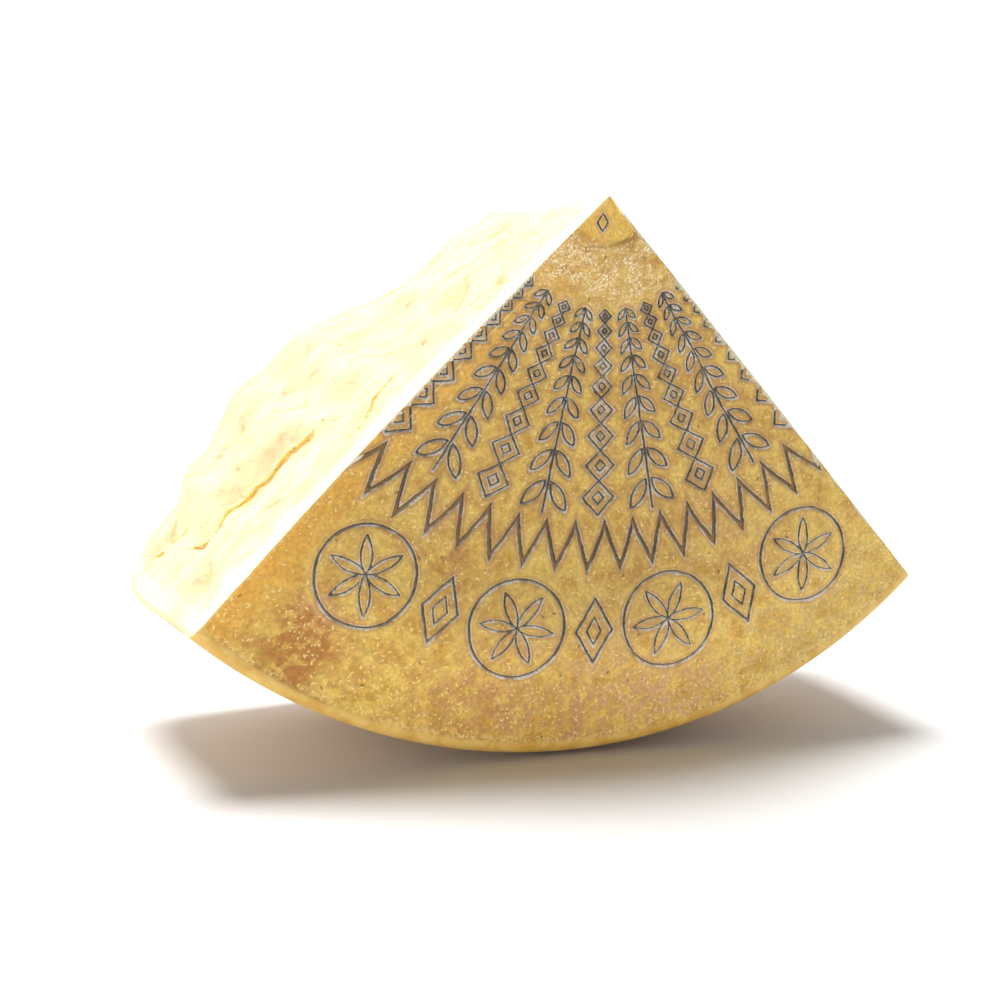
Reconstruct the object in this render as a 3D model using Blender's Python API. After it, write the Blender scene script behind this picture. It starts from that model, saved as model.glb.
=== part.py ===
"""An eighth of a wheel of hard cheese: a quarter sector of half the wheel's height.

It stands on its curved rim with the flat rind face towards -Y, as a cut piece is shown on a counter.
The two sides and the back are broken open, with a strip at each rind that a knife scored first.

The shape is worked out in the sector's own axes and then set down on the table:
x runs to the right, y runs up from the rim to the point where the two sides meet, and depth runs from
the flat face back into the wheel. The point's front end is the origin of these axes.
"""
import math

import bmesh
import bpy
import numpy as np

# The wheel, in metres
FACE_RADIUS = 0.188          # flat rind face
HALF_HEIGHT = 0.116          # half of the wheel's height, which is this piece's depth
HEEL_RISE = 0.0035           # how far the rounded heel stands out past the flat face
HEEL_DEPTH = 0.0045
BARREL = 0.0105              # how much wider the wheel is at mid-height than behind its heel

# The two cuts
LEFT_SPAN = math.radians(44.0)    # each side's angle from straight down
RIGHT_SPAN = math.radians(43.3)
SPAN = LEFT_SPAN + RIGHT_SPAN
POINT_SHIFT = 0.0078         # the cuts meet this far to the right of the wheel's axis
LEFT_BOW = 0.0016            # how far each front edge bows out between the point and the rim
RIGHT_BOW = 0.0003
KNIFE_STRIP = 0.013          # flat strip that the knife scored beside the rind face
RIND = 0.006                 # smooth rind along the ends of the rim
NEAREST = 0.004              # the sides' relief counts as if it stood at least this far from the point

# How far the left side stands out at the back, at each distance from the point
LEFT_CREST = ((0.0, 0.0), (0.005, 0.0045), (0.014, 0.0045), (0.024, 0.008), (0.045, 0.0085),
              (0.066, 0.0118), (0.080, 0.0172), (0.096, 0.025), (0.115, 0.0248), (0.134, 0.0275),
              (0.148, 0.0215), (0.160, 0.018), (0.167, 0.0215), (0.177, 0.012), (0.196, 0.0125),
              (0.204, 0.0105), (0.210, 0.008), (0.215, 0.008))
RIGHT_CREST = ((0.0, 0.0), (0.030, 0.004), (0.070, 0.001), (0.110, 0.005), (0.150, 0.007), (0.185, 0.003),
               (0.215, 0.004))
CREST_ROUNDING = 0.004       # the crests' corners are rounded over this length
CREST_WANDER = 0.016         # how far the crests' ridges wander sideways on their way to the front
WANDER_SIZE = 0.05           # and the length of one such bend

# The rim swells out at its left end, behind the heel
END_BULGE = 0.006
BULGE_FROM = math.radians(26.0)   # angle from straight down at which it starts
BULGE_RISE = (0.016, 0.095)  # it grows between these depths
BULGE_LOSS = 0.25            # and loses this share of its height by the back

# The broken paste: lumps of three sizes, each as (size, height)
LUMPS = ((0.044, 0.0050), (0.022, 0.0030), (0.012, 0.0018))
LUMP_SEED = 11
LATTICE = 24                 # the noise repeats after this many lumps
OFF_STRIP = 0.012            # the lumps reach their full height this far behind the knife strip,
OFF_POINT = 0.020            # this far from the point
OFF_RIND = 0.010             # and this far from the rind
CALM_FROM = 0.090            # behind this depth the sides' lumps grow lower
CALM_SHARE = 0.65            # by up to this share
BACK_FROM = 0.8              # share of the depth at which the back's lumps start to count
BACK_EDGE = 0.010            # they reach their full height this far from the sides
BACK_EDGE_SHARE = 0.35       # share of it that is left at the sides

# Ledges on the left side, where two cracks and a flake have opened. The paste steps down behind each one.
# Each is (step, distance over which the paste comes back up, (distance from the point, depth) points).
LEDGES = (
    (0.0025, 0.016, ((0.120, 0.049), (0.1285, 0.0515), (0.138, 0.056), (0.150, 0.0585), (0.163, 0.0585),
                     (0.170, 0.056), (0.177, 0.065), (0.186, 0.074))),
    (0.0018, 0.010, ((0.178, 0.086), (0.190, 0.0925), (0.202, 0.101))),
    (0.0012, 0.010, ((0.086, 0.031), (0.0945, 0.0295), (0.103, 0.0272), (0.110, 0.028), (0.119, 0.033))),
)
LEDGE_LIP = 0.003            # the step down is this wide
LEDGE_FADE = 0.006           # and fades in and out over this length

# Rest
LEAN = math.radians(5.5)     # the wide mid-height end tips the flat face forward
FLAT_TRIM = 0.0005           # how much of the rim its own weight has flattened
PROFILE_STEPS = 400          # the rim's profile is searched for its lowest place in this many steps
POINT_X = 0.0081             # places the piece's box over the origin
POINT_Y = -0.0674

# Stamps in the rind face: rings with lozenges between them
STAMP_REACH = 0.148          # distance from the point to the stamps' middles
RING_RADIUS = 0.0172
RING_ANGLES = (-33.0, -11.0, 11.0, 33.0)
LOZENGE_ANGLES = (-22.0, 0.0, 22.0)
LOZENGE_HALF_WIDTH = 0.0066
LOZENGE_HALF_HEIGHT = 0.0115
GROOVE_WIDTH = 0.0013
GROOVE_DEPTH = 0.0012
RING_SIDES = 32

# How finely the surface is divided
ACROSS = 38                  # from side to side
ALONG = 32                   # from the point to the rim
BEHIND = 17                  # from the knife strip to the back
HEEL_ROWS = (0.0, 0.0006, 0.0021, HEEL_DEPTH)

RIND_COLOUR = (0.52, 0.33, 0.09, 1.0)
PASTE_COLOUR = (0.86, 0.74, 0.45, 1.0)


def clear_scene():
    """Remove every object that is already there."""
    for old in list(bpy.data.objects):
        bpy.data.objects.remove(old, do_unlink=True)


def material(name, colour, roughness):
    """A plain Principled material."""
    made = bpy.data.materials.new(name)
    made.use_nodes = True
    shader = made.node_tree.nodes["Principled BSDF"]
    shader.inputs["Base Color"].default_value = colour
    shader.inputs["Roughness"].default_value = roughness
    shader.inputs["Metallic"].default_value = 0.0
    made.diffuse_color = colour
    return made


def ease(x):
    """Go from 0 to 1 smoothly as x goes from 0 to 1."""
    x = np.clip(x, 0.0, 1.0)
    return x * x * (3.0 - 2.0 * x)


def noise(points, size, seed):
    """Gradient noise: each corner of a lattice has a random slope, and the slopes round a point are
    blended.
    """
    slopes = np.random.default_rng(seed).normal(size=(LATTICE, LATTICE, LATTICE, 3))
    q = points / size
    base = np.floor(q).astype(int)
    part = q - base
    blend = part ** 3 * (part * (6.0 * part - 15.0) + 10.0)
    total = np.zeros(points.shape[:-1])
    for corner in np.ndindex(2, 2, 2):
        step = np.array(corner)
        at = (base + step) % LATTICE
        slope = slopes[at[..., 0], at[..., 1], at[..., 2]]
        weight = np.prod(np.where(step, blend, 1.0 - blend), axis=-1)
        total += weight * np.sum(slope * (part - step), axis=-1)
    return total


def lumps(points, seed):
    """The broken paste's relief: the lump sizes added up."""
    return sum(height * noise(points, size, seed + n) for n, (size, height) in enumerate(LUMPS))


def rounded(outline, at, rounding):
    """Read an outline of (place, height) points with its corners rounded: the mean of five close
    readings.
    """
    places, heights = np.array(outline).T
    shifts = (-1.0, -0.5, 0.0, 0.5, 1.0)
    return sum(np.interp(at + rounding * shift, places, heights) for shift in shifts) / len(shifts)


def rim_radius(depth):
    """The wheel's radius: a quarter ellipse for the heel, then a parabola that is widest at mid-height."""
    heel = HEEL_RISE * np.sqrt(1.0 - (1.0 - np.clip(depth / HEEL_DEPTH, 0.0, 1.0)) ** 2)
    return FACE_RADIUS + heel + BARREL * (1.0 - (1.0 - depth / HALF_HEIGHT) ** 2)


def rim_reach(angle, depth):
    """Distance from the point to the rim, along a line at this angle from straight down."""
    along = -POINT_SHIFT * np.sin(angle)
    rise, top = BULGE_RISE
    behind_top = ease((depth - top) / (HALF_HEIGHT - top))
    hump = ease((depth - rise) / (top - rise)) * (1.0 - BULGE_LOSS * behind_top)
    bulge = END_BULGE * hump * ease((-angle - BULGE_FROM) / (LEFT_SPAN - BULGE_FROM))
    return along + np.sqrt(rim_radius(depth) ** 2 - POINT_SHIFT ** 2 + along ** 2) + bulge


def ledge_drop(far, depth):
    """How far the left side drops behind its ledges."""
    drop = np.zeros_like(far)
    for step, reach, path in LEDGES:
        places, depths = np.array(path).T
        behind = depth - np.interp(far, places, depths)
        ends = ease((far - places[0]) / LEDGE_FADE) * ease((places[-1] - far) / LEDGE_FADE)
        drop += step * ends * ease(behind / LEDGE_LIP) * (1.0 - ease(behind / reach))
    return drop


def side_relief(points, far, depth, rim, crest, bow, seed):
    """How far a side stands out of its cut plane: bowed edge, crest that rises to the back, and lumps."""
    behind = ease((depth - KNIFE_STRIP) / (HALF_HEIGHT - KNIFE_STRIP))
    wander = CREST_WANDER * noise(points, WANDER_SIZE, seed + 20) * (1.0 - behind)
    height = rounded(crest, far + wander, CREST_ROUNDING) * behind
    edge = bow * np.sin(math.pi * np.clip(far / rim, 0.0, 1.0))
    rough = (ease((depth - KNIFE_STRIP) / OFF_STRIP) * ease(far / OFF_POINT)
             * ease((rim - RIND - far) / OFF_RIND))
    calm = 1.0 - CALM_SHARE * ease((depth - CALM_FROM) / (HALF_HEIGHT - CALM_FROM))
    return height + edge + rough * calm * lumps(points, seed)


def shape(across, along, depth):
    """Place points of the sector: across and along go from 0 to 1, left to right and point to rim."""
    angle = across * SPAN - LEFT_SPAN
    rim = rim_reach(angle, depth)
    far = along * rim
    points = np.stack([far * np.sin(angle), -far * np.cos(angle), depth], axis=-1)

    # A side's relief turns its points round the sector's point, and fades towards the other side.
    # The rim stays on the wheel's circle.
    left = side_relief(points, far, depth, rim, LEFT_CREST, LEFT_BOW, LUMP_SEED) - ledge_drop(far, depth)
    right = side_relief(points, far, depth, rim, RIGHT_CREST, RIGHT_BOW, LUMP_SEED + 40)
    angle = angle + (right * across ** 3 - left * (1.0 - across) ** 3) / np.maximum(far, NEAREST)
    far = along * rim_reach(angle, depth)
    x, y = far * np.sin(angle), -far * np.cos(angle)

    near_back = ease((depth / HALF_HEIGHT - BACK_FROM) / (1.0 - BACK_FROM))
    off_rim = ease((rim - RIND - far) / OFF_RIND) * ease(far / OFF_POINT)
    to_side = far * SPAN * np.minimum(across, 1.0 - across)
    off_sides = BACK_EDGE_SHARE + (1.0 - BACK_EDGE_SHARE) * ease(to_side / BACK_EDGE)
    back = near_back * off_rim * off_sides * lumps(points, LUMP_SEED + 80)
    return np.stack([x, y, depth + back], axis=-1)


def set_down(points):
    """Turn the sector's axes into the table's: lean it forward, and lower it until its flat spot is at
    z = 0.
    """
    depths = np.linspace(0.0, HALF_HEIGHT, PROFILE_STEPS)
    lowest = np.max(rim_radius(depths) * math.cos(LEAN) - depths * math.sin(LEAN))
    x, y, depth = points[..., 0], points[..., 1], points[..., 2]
    return np.stack([x + POINT_X,
                     depth * math.cos(LEAN) - y * math.sin(LEAN) + POINT_Y,
                     depth * math.sin(LEAN) + y * math.cos(LEAN) + lowest - FLAT_TRIM], axis=-1)


def sector_mesh():
    """The closed skin of the sector on a lattice of nodes (i across, j along, k deep)."""
    depths = np.concatenate([HEEL_ROWS, np.linspace(KNIFE_STRIP, HALF_HEIGHT, BEHIND + 1)])
    last = len(depths) - 1
    number = {}
    places = []

    def node(i, j, k):
        """Number a node the first time it is used. The point is one node from side to side."""
        key = (i if j else 0, j, k)
        if key not in number:
            number[key] = len(places)
            places.append((key[0] / ACROSS, j / ALONG, depths[k]))
        return number[key]

    rind, paste = [], []
    rind.append([node(0, j, 0) for j in range(ALONG)] + [node(i, ALONG, 0) for i in range(ACROSS)]
                + [node(ACROSS, j, 0) for j in range(ALONG, 0, -1)])
    for k in range(last):
        rind += [[node(i, ALONG, k), node(i + 1, ALONG, k),
                  node(i + 1, ALONG, k + 1), node(i, ALONG, k + 1)] for i in range(ACROSS)]
        for side in (0, ACROSS):
            paste += [[node(side, j, k), node(side, j + 1, k),
                       node(side, j + 1, k + 1), node(side, j, k + 1)] for j in range(ALONG)]
    for i in range(ACROSS):
        paste.append([node(0, 0, last), node(i, 1, last), node(i + 1, 1, last)])
        paste += [[node(i, j, last), node(i + 1, j, last), node(i + 1, j + 1, last), node(i, j + 1, last)]
                  for j in range(1, ALONG)]

    points = set_down(shape(*np.array(places).T))
    mesh = bpy.data.meshes.new("cheese")
    mesh.from_pydata(points.tolist(), [], rind + paste)
    mesh.polygons.foreach_set("material_index", [0] * len(rind) + [1] * len(paste))
    return mesh


def flatten_foot(mesh):
    """Cut the rim off at the table and close the cut with one flat face."""
    bm = bmesh.new()
    bm.from_mesh(mesh)
    everything = bm.verts[:] + bm.edges[:] + bm.faces[:]
    cut = bmesh.ops.bisect_plane(bm, geom=everything, dist=1e-7, plane_co=(0, 0, 0), plane_no=(0, 0, -1),
                                 clear_outer=True)
    rim_edges = [e for e in cut["geom_cut"] if isinstance(e, bmesh.types.BMEdge)]
    bmesh.ops.edgeloop_fill(bm, edges=rim_edges)
    bmesh.ops.recalc_face_normals(bm, faces=bm.faces[:])
    bm.to_mesh(mesh)
    bm.free()


def groove_cutter(name, outlines):
    """A band between two closed outlines, given as (outer, inner) lists of (x, y), sunk into the face."""
    bm = bmesh.new()
    for outer, inner in outlines:
        count = len(outer)
        rows = []
        levels = ((outer, -GROOVE_DEPTH), (outer, GROOVE_DEPTH),
                  (inner, GROOVE_DEPTH), (inner, -GROOVE_DEPTH))
        for line, depth in levels:
            flat = np.column_stack([np.array(line), np.full(count, depth)])
            rows.append([bm.verts.new(p) for p in set_down(flat)])
        for a, b in zip(rows, rows[1:] + rows[:1]):
            for n in range(count):
                m = (n + 1) % count
                bm.faces.new((a[n], a[m], b[m], b[n]))
    bmesh.ops.recalc_face_normals(bm, faces=bm.faces[:])
    mesh = bpy.data.meshes.new(name)
    bm.to_mesh(mesh)
    bm.free()
    cutter = bpy.data.objects.new(name, mesh)
    bpy.context.collection.objects.link(cutter)
    cutter.hide_render = True
    cutter.display_type = "WIRE"
    return cutter


def stamp_place(angle):
    """The middle of a stamp, and the directions across and along its column."""
    turn = math.radians(angle)
    out = np.array([math.sin(turn), -math.cos(turn)])
    return STAMP_REACH * out, np.array([math.cos(turn), math.sin(turn)]), out


def ring_outline(angle, radius):
    """A circle round a stamp's middle."""
    middle, side, out = stamp_place(angle)
    turns = np.linspace(0.0, 2.0 * math.pi, RING_SIDES, endpoint=False)[:, None]
    return middle + radius * (np.cos(turns) * side + np.sin(turns) * out)


def lozenge_outline(angle, grow):
    """A lozenge round a stamp's middle, with its long way along the column."""
    middle, side, out = stamp_place(angle)
    scale = 1.0 + grow / LOZENGE_HALF_WIDTH
    corners = ((-LOZENGE_HALF_WIDTH, 0.0), (0.0, -LOZENGE_HALF_HEIGHT), (LOZENGE_HALF_WIDTH, 0.0),
               (0.0, LOZENGE_HALF_HEIGHT))
    return np.array([middle + scale * (x * side + y * out) for x, y in corners])


def cheese():
    """The whole piece, one solid, with its stamps pressed into the rind face."""
    mesh = sector_mesh()
    flatten_foot(mesh)
    piece = bpy.data.objects.new("cheese", mesh)
    bpy.context.collection.objects.link(piece)
    mesh.materials.append(material("cheese_rind", RIND_COLOUR, 0.45))
    mesh.materials.append(material("cheese_paste", PASTE_COLOUR, 0.7))

    half = GROOVE_WIDTH / 2.0
    rings = [(ring_outline(angle, RING_RADIUS + half), ring_outline(angle, RING_RADIUS - half))
             for angle in RING_ANGLES]
    lozenges = [(lozenge_outline(angle, GROOVE_WIDTH), lozenge_outline(angle, -GROOVE_WIDTH))
                for angle in LOZENGE_ANGLES]
    stamps = piece.modifiers.new("stamps", "BOOLEAN")
    stamps.operation = "DIFFERENCE"
    stamps.solver = "EXACT"
    stamps.object = groove_cutter("stamp_cutter", rings + lozenges)
    return piece


clear_scene()
cheese()
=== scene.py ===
"""An eighth of a wheel of hard cheese, standing on its curved rim with the stamped rind face forward.

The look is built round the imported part: five closed pieces that meet in the middle of the solid, a pale floor,
soft light and a camera. The form repeats the part's own rules, divided more finely, with the broken paste, the
stamps and the wear added as relief that goes inwards from the part's surface.

Sector axes, in metres: x to the right, y up from the rim to the point, depth from the flat face into the wheel.
"""
import math

import bpy
import numpy as np
from bpy.props import FloatProperty, FloatVectorProperty, IntProperty, PointerProperty
from mathutils import Matrix, Vector


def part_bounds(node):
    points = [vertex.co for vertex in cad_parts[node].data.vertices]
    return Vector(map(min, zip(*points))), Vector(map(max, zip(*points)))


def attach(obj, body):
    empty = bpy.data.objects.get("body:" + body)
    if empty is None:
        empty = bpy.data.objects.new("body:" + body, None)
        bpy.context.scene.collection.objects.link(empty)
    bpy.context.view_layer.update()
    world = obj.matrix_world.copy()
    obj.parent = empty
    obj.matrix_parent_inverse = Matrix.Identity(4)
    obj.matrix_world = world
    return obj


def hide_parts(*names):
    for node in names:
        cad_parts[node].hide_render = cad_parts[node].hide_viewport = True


bl_info = {
    "name": "Hard Cheese Piece",
    "version": (1, 0, 0),
    "blender": (4, 5, 0),
    "location": "View3D > Sidebar > Cheese",
    "description": "Builds a broken piece of a hard cheese wheel with a stamped rind",
    "category": "Add Mesh",
}

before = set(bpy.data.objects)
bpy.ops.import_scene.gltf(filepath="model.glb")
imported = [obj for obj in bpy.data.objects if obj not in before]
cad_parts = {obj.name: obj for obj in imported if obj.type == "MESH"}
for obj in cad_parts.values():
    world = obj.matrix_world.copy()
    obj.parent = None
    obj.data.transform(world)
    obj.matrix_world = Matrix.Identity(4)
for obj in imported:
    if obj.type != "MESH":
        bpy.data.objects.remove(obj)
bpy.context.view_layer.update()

NODE = "cheese"
MM = 0.001
LATTICE = 24  # a noise repeats after this many of its lumps

# The wheel, in metres
FACE_RADIUS = 0.188  # flat rind face
HALF_HEIGHT = 0.116  # half of the wheel's height, which is this piece's depth
HEEL_RISE = 0.0035  # how far the rounded heel stands out past the flat face
HEEL_DEPTH = 0.0045
BARREL = 0.0105  # how much wider the wheel is at mid-height than behind its heel

# The two cuts
LEFT_SPAN = math.radians(44.0)  # the left side's angle from straight down
SPAN = LEFT_SPAN + math.radians(43.3)  # and the angle between the two sides
POINT_SHIFT = 0.0078  # the cuts meet this far to the right of the wheel's axis
LEFT_BOW = 0.0016  # how far each front edge bows out between the point and the rim
RIGHT_BOW = 0.0003
KNIFE_STRIP = 0.013  # flat strip that the knife scored beside the rind face
RIND = 0.006  # smooth rind along the ends of the rim
NEAREST = 0.004  # the sides' relief counts as if it stood at least this far from the point

# How far the left side stands out at the back, at each distance from the point
LEFT_CREST = ((0.0, 0.0), (0.005, 0.0045), (0.014, 0.0045), (0.024, 0.008), (0.045, 0.0085),
              (0.066, 0.0118), (0.080, 0.0172), (0.096, 0.025), (0.115, 0.0248), (0.134, 0.0275),
              (0.148, 0.0215), (0.160, 0.018), (0.167, 0.0215), (0.177, 0.012), (0.196, 0.0125),
              (0.204, 0.0105), (0.210, 0.008), (0.215, 0.008))
RIGHT_CREST = ((0.0, 0.0), (0.030, 0.004), (0.070, 0.001), (0.110, 0.005), (0.150, 0.007), (0.185, 0.003),
               (0.215, 0.004))
CREST_ROUNDING = 0.004  # the crests' corners are rounded over this length
CREST_WANDER = 0.016  # how far the crests' ridges wander sideways on their way to the front
WANDER_SIZE = 0.05  # and the length of one such bend

# The rim swells out at its left end, behind the heel
END_BULGE = 0.006
BULGE_FROM = math.radians(26.0)  # angle from straight down at which it starts
BULGE_RISE = (0.016, 0.095)  # it grows between these depths
BULGE_LOSS = 0.25  # and loses this share of its height by the back

# The broken paste: lumps of three sizes, each as (size, height)
LUMPS = ((0.044, 0.0050), (0.022, 0.0030), (0.012, 0.0018))
LUMP_SEED = 11
OFF_STRIP = 0.012  # the lumps reach their full height this far behind the knife strip,
OFF_POINT = 0.020  # this far from the point
OFF_RIND = 0.010  # and this far from the rind
CALM_FROM = 0.090  # behind this depth the sides' lumps grow lower
CALM_SHARE = 0.65  # by up to this share
BACK_FROM = 0.8  # share of the depth at which the back's lumps start to count
BACK_EDGE = 0.010  # they reach their full height this far from the sides
BACK_EDGE_SHARE = 0.35  # share of it that is left at the sides

# Ledges on the left side, where two cracks and a flake have opened. The paste steps down behind each one.
# Each is (step, distance over which the paste comes back up, (distance from the point, depth) points).
LEDGES = (
    (0.0025, 0.016, ((0.120, 0.049), (0.1285, 0.0515), (0.138, 0.056), (0.150, 0.0585), (0.163, 0.0585),
                     (0.170, 0.056), (0.177, 0.065), (0.186, 0.074))),
    (0.0018, 0.010, ((0.178, 0.086), (0.190, 0.0925), (0.202, 0.101))),
    (0.0012, 0.010, ((0.086, 0.031), (0.0945, 0.0295), (0.103, 0.0272), (0.110, 0.028), (0.119, 0.033))),
)
LEDGE_LIP = 0.003  # the step down is this wide
LEDGE_FADE = 0.006  # and fades in and out over this length

# Rest
LEAN = math.radians(5.5)  # the wide mid-height end tips the flat face forward
FLAT_TRIM = 0.0005  # how much of the rim its own weight has flattened
PROFILE_STEPS = 400  # the rim's profile is searched for its lowest place in this many steps
POINT_X = 0.0081  # places the piece's box over the origin
POINT_Y = -0.0674

HEART = (0.0, -0.120, 0.058)  # the point inside the solid where the pieces meet

# The face is built in two pieces
BAND_FROM = 0.128  # they meet at this distance from the point
TUCK = 0.0004  # the outer one goes on under the inner one by this much,
TUCK_DEPTH = 0.00002  # and this much deeper
BAND_FADE = 0.0015  # its relief fades over this length towards the heel,
SIDE_FADE = 0.0007  # and that of both over this length towards the sides
HEEL_ROWS = 9

# Wear along the edges
WEAR = 0.00032  # usual depth
WEAR_REACH = 0.0012  # how far from an edge it ends

# Stamps. A LINE is half of a groove's width.
COLUMN_TURN = math.radians(11.0)  # angle from one column to the next
COLUMN_FROM = 0.037  # the columns go from this distance from the point
COLUMN_TO = 0.107  # to this one
COLUMN_CELLS = 9  # lozenges, or pairs of grains, in one column
CHAIN_HALF_WIDTH = 0.056  # in a column, widths are angles, and lengths are logarithms of distance
CORE_HALF = (0.020, 0.022)
GRAIN_OUT = 0.044  # the grains' middles stand this far out from the stalk
GRAIN_HALF = (0.021, 0.056)
GRAIN_SLANT = math.radians(35.0)
COLUMN_LINE = 0.00028
COLUMN_LINE_GROWTH = 0.0020  # the columns' lines are wider by this share of the distance from the point
BORDER_FROM = 0.110  # the zigzag goes between these distances from the point
BORDER_TO = 0.1255
BORDER_TURN = math.radians(5.5)  # and repeats after this angle
BORDER_LINE = 0.00075
STAMP_REACH = 0.148  # the rings' and the large lozenges' middles are this far from the point
RING_RADIUS = 0.0172
RING_ANGLES = (-33.0, -11.0, 11.0, 33.0)
RING_LINE = 0.00056
PETALS = 6
PETAL_RADIUS = 0.0135  # a petal lies between two arcs of this radius
FINE_LINE = 0.00038
LOZENGE_ANGLES = (-22.0, 0.0, 22.0)
LOZENGE_HALF = (0.0066, 0.0115)
LOZENGE_CORE = 0.42  # size of the lozenge inside it, as a share
POINT_MARK = (-0.0020, -0.0085)  # the small lozenge at the point
POINT_MARK_HALF = (0.0019, 0.0030)
MARK_LINE = 0.0003

# The face's grain, in three layers, each as (height in millimetres, size, seed)
FACE_GRAIN = ((0.10, 0.0028, 42), (0.22, 0.009, 43), (0.5, 0.04, 44))

# Clouds of colour on the rind face, each as (strength, x, y, size, how ragged)
CLOUDS = {
    "brown": ((0.9, -0.116, -0.136, 0.014, 1.3), (0.8, -0.102, -0.152, 0.015, 1.3), (0.5, -0.059, -0.122, 0.012, 1.2),
              (0.6, -0.045, -0.165, 0.018, 1.5), (0.5, 0.02, -0.120, 0.014, 1.0), (0.45, -0.052, -0.134, 0.010, 1.0),
              (0.5, -0.012, -0.176, 0.014, 1.0)),
    "pink": ((0.8, -0.098, -0.137, 0.008, 1.0), (1.0, -0.012, -0.174, 0.024, 1.2), (0.8, 0.030, -0.176, 0.020, 1.2),
             (0.5, -0.050, -0.170, 0.018, 1.2), (0.4, 0.045, -0.105, 0.020, 1.0)),
    "olive": ((0.7, 0.062, -0.160, 0.030, 0.6), (0.7, 0.102, -0.142, 0.025, 0.6), (0.4, 0.0, -0.150, 0.030, 0.8)),
}

# Pits in the left side, as (distance from the point, depth)
PITS = ((0.0909, 0.0733), (0.1064, 0.0835), (0.112, 0.0752), (0.1269, 0.0756), (0.1175, 0.0485), (0.1052, 0.0568),
        (0.1417, 0.0894), (0.1482, 0.0896), (0.1515, 0.0728), (0.0391, 0.032), (0.0523, 0.0315), (0.0194, 0.0854),
        (0.2051, 0.0961))
# In front of each ledge the paste dips: (height of the riser, length of the dip, strength of its painted shade)
CRACKS = ((0.0011, 0.009, 1.0), (0.0008, 0.007, 0.8), (0.0007, 0.006, 0.6))
CRACK_WIDTH = 0.0006  # how far a riser takes to climb
THIN_RIND = (0.198, 0.036)  # (distance from the point, depth) where the rind glows through the paste in peach

# The shaders
FLECK_SIZES = (0.45, 1.25)  # a fleck is between these times as large as it is asked for
FLECK_BEND = 0.45
GLOW_REACH = (0.0060, 0.0038, 0.0014)  # how far red, green and blue light spreads in the paste, in metres

# The stage
FLOOR_HALF = 6.0
LAMP_TOWARDS = (0.08, -0.22, -1.0)
CAMERA_AT = (-0.1476, -0.4503, 0.1277)
CAMERA_TOWARDS = (0.2920, 0.9526, -0.0851)
CAMERA_UP = (0.0318, 0.0793, 0.9963)


def ease(x):
    """Go from 0 to 1 smoothly as x goes from 0 to 1."""
    x = np.clip(x, 0.0, 1.0)
    return x * x * (3.0 - 2.0 * x)


def flat_points(x, y):
    """Points on the rind face's plane."""
    return np.stack([x, y, np.zeros_like(x)], axis=-1)


def lattice(points, size):
    """Points in a lattice of cubes of this size: the cube that each is in, and its place in the cube."""
    cube = np.floor(points / size).astype(int)
    return cube, points / size - cube


def beside(table, cube, step):
    """The entries of a table, one for each cube of the lattice, for the cubes this step away from others."""
    at = (cube + step) % LATTICE
    return table[at[..., 0], at[..., 1], at[..., 2]]


def noise(points, size, seed):
    """Gradient noise: each corner of a lattice has a random slope, and the slopes round a point are blended."""
    slopes = np.random.default_rng(seed).normal(size=(LATTICE, LATTICE, LATTICE, 3))
    cube, part = lattice(points, size)
    blend = part ** 3 * (part * (6.0 * part - 15.0) + 10.0)
    total = np.zeros(points.shape[:-1])
    for corner in np.ndindex(2, 2, 2):
        step = np.array(corner)
        weight = np.prod(np.where(step, blend, 1.0 - blend), axis=-1)
        total += weight * np.sum(beside(slopes, cube, step) * (part - step), axis=-1)
    return total


def cells(points, size, seed):
    """Cell noise: one random place in each cube of a lattice; the distances to the nearest and second nearest
    place, divided by the cube's size."""
    places = np.random.default_rng(seed).uniform(size=(LATTICE, LATTICE, LATTICE, 3))
    cube, part = lattice(points, size)
    near = np.full(points.shape[:-1], 9.0)
    second = near.copy()
    for corner in np.ndindex(3, 3, 3):
        step = np.array(corner) - 1
        gap = np.linalg.norm(beside(places, cube, step) + step - part, axis=-1)
        second = np.minimum(second, np.maximum(near, gap))
        near = np.minimum(near, gap)
    return near, second


def facets(points, size, seed):
    """Broken facets: each place of the cell noise carries a plane with a random slope, and a point takes the height
    of its nearest place's plane, divided by the cube's size."""
    draw = np.random.default_rng(seed)
    places = draw.uniform(size=(LATTICE, LATTICE, LATTICE, 3))
    slopes = draw.normal(size=(LATTICE, LATTICE, LATTICE, 3))
    cube, part = lattice(points, size)
    near = np.full(points.shape[:-1], 9.0)
    height = np.zeros_like(near)
    for corner in np.ndindex(3, 3, 3):
        step = np.array(corner) - 1
        gap = part - beside(places, cube, step) - step
        length = np.linalg.norm(gap, axis=-1)
        height = np.where(length < near, np.sum(gap * beside(slopes, cube, step), axis=-1), height)
        near = np.minimum(near, length)
    return height


def lumps(points, seed):
    """The broken paste's relief: the lump sizes added up."""
    return sum(height * noise(points, size, seed + n) for n, (size, height) in enumerate(LUMPS))


def rounded(outline, at, rounding):
    """Read an outline of (place, height) points with its corners rounded: the mean of five close readings."""
    places, heights = np.array(outline).T
    shifts = (-1.0, -0.5, 0.0, 0.5, 1.0)
    return sum(np.interp(at + rounding * shift, places, heights) for shift in shifts) / len(shifts)


def rim_radius(depth):
    """The wheel's radius: a quarter ellipse for the heel, then a parabola that is widest at mid-height."""
    heel = HEEL_RISE * np.sqrt(1.0 - (1.0 - np.clip(depth / HEEL_DEPTH, 0.0, 1.0)) ** 2)
    return FACE_RADIUS + heel + BARREL * (1.0 - (1.0 - depth / HALF_HEIGHT) ** 2)


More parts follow.
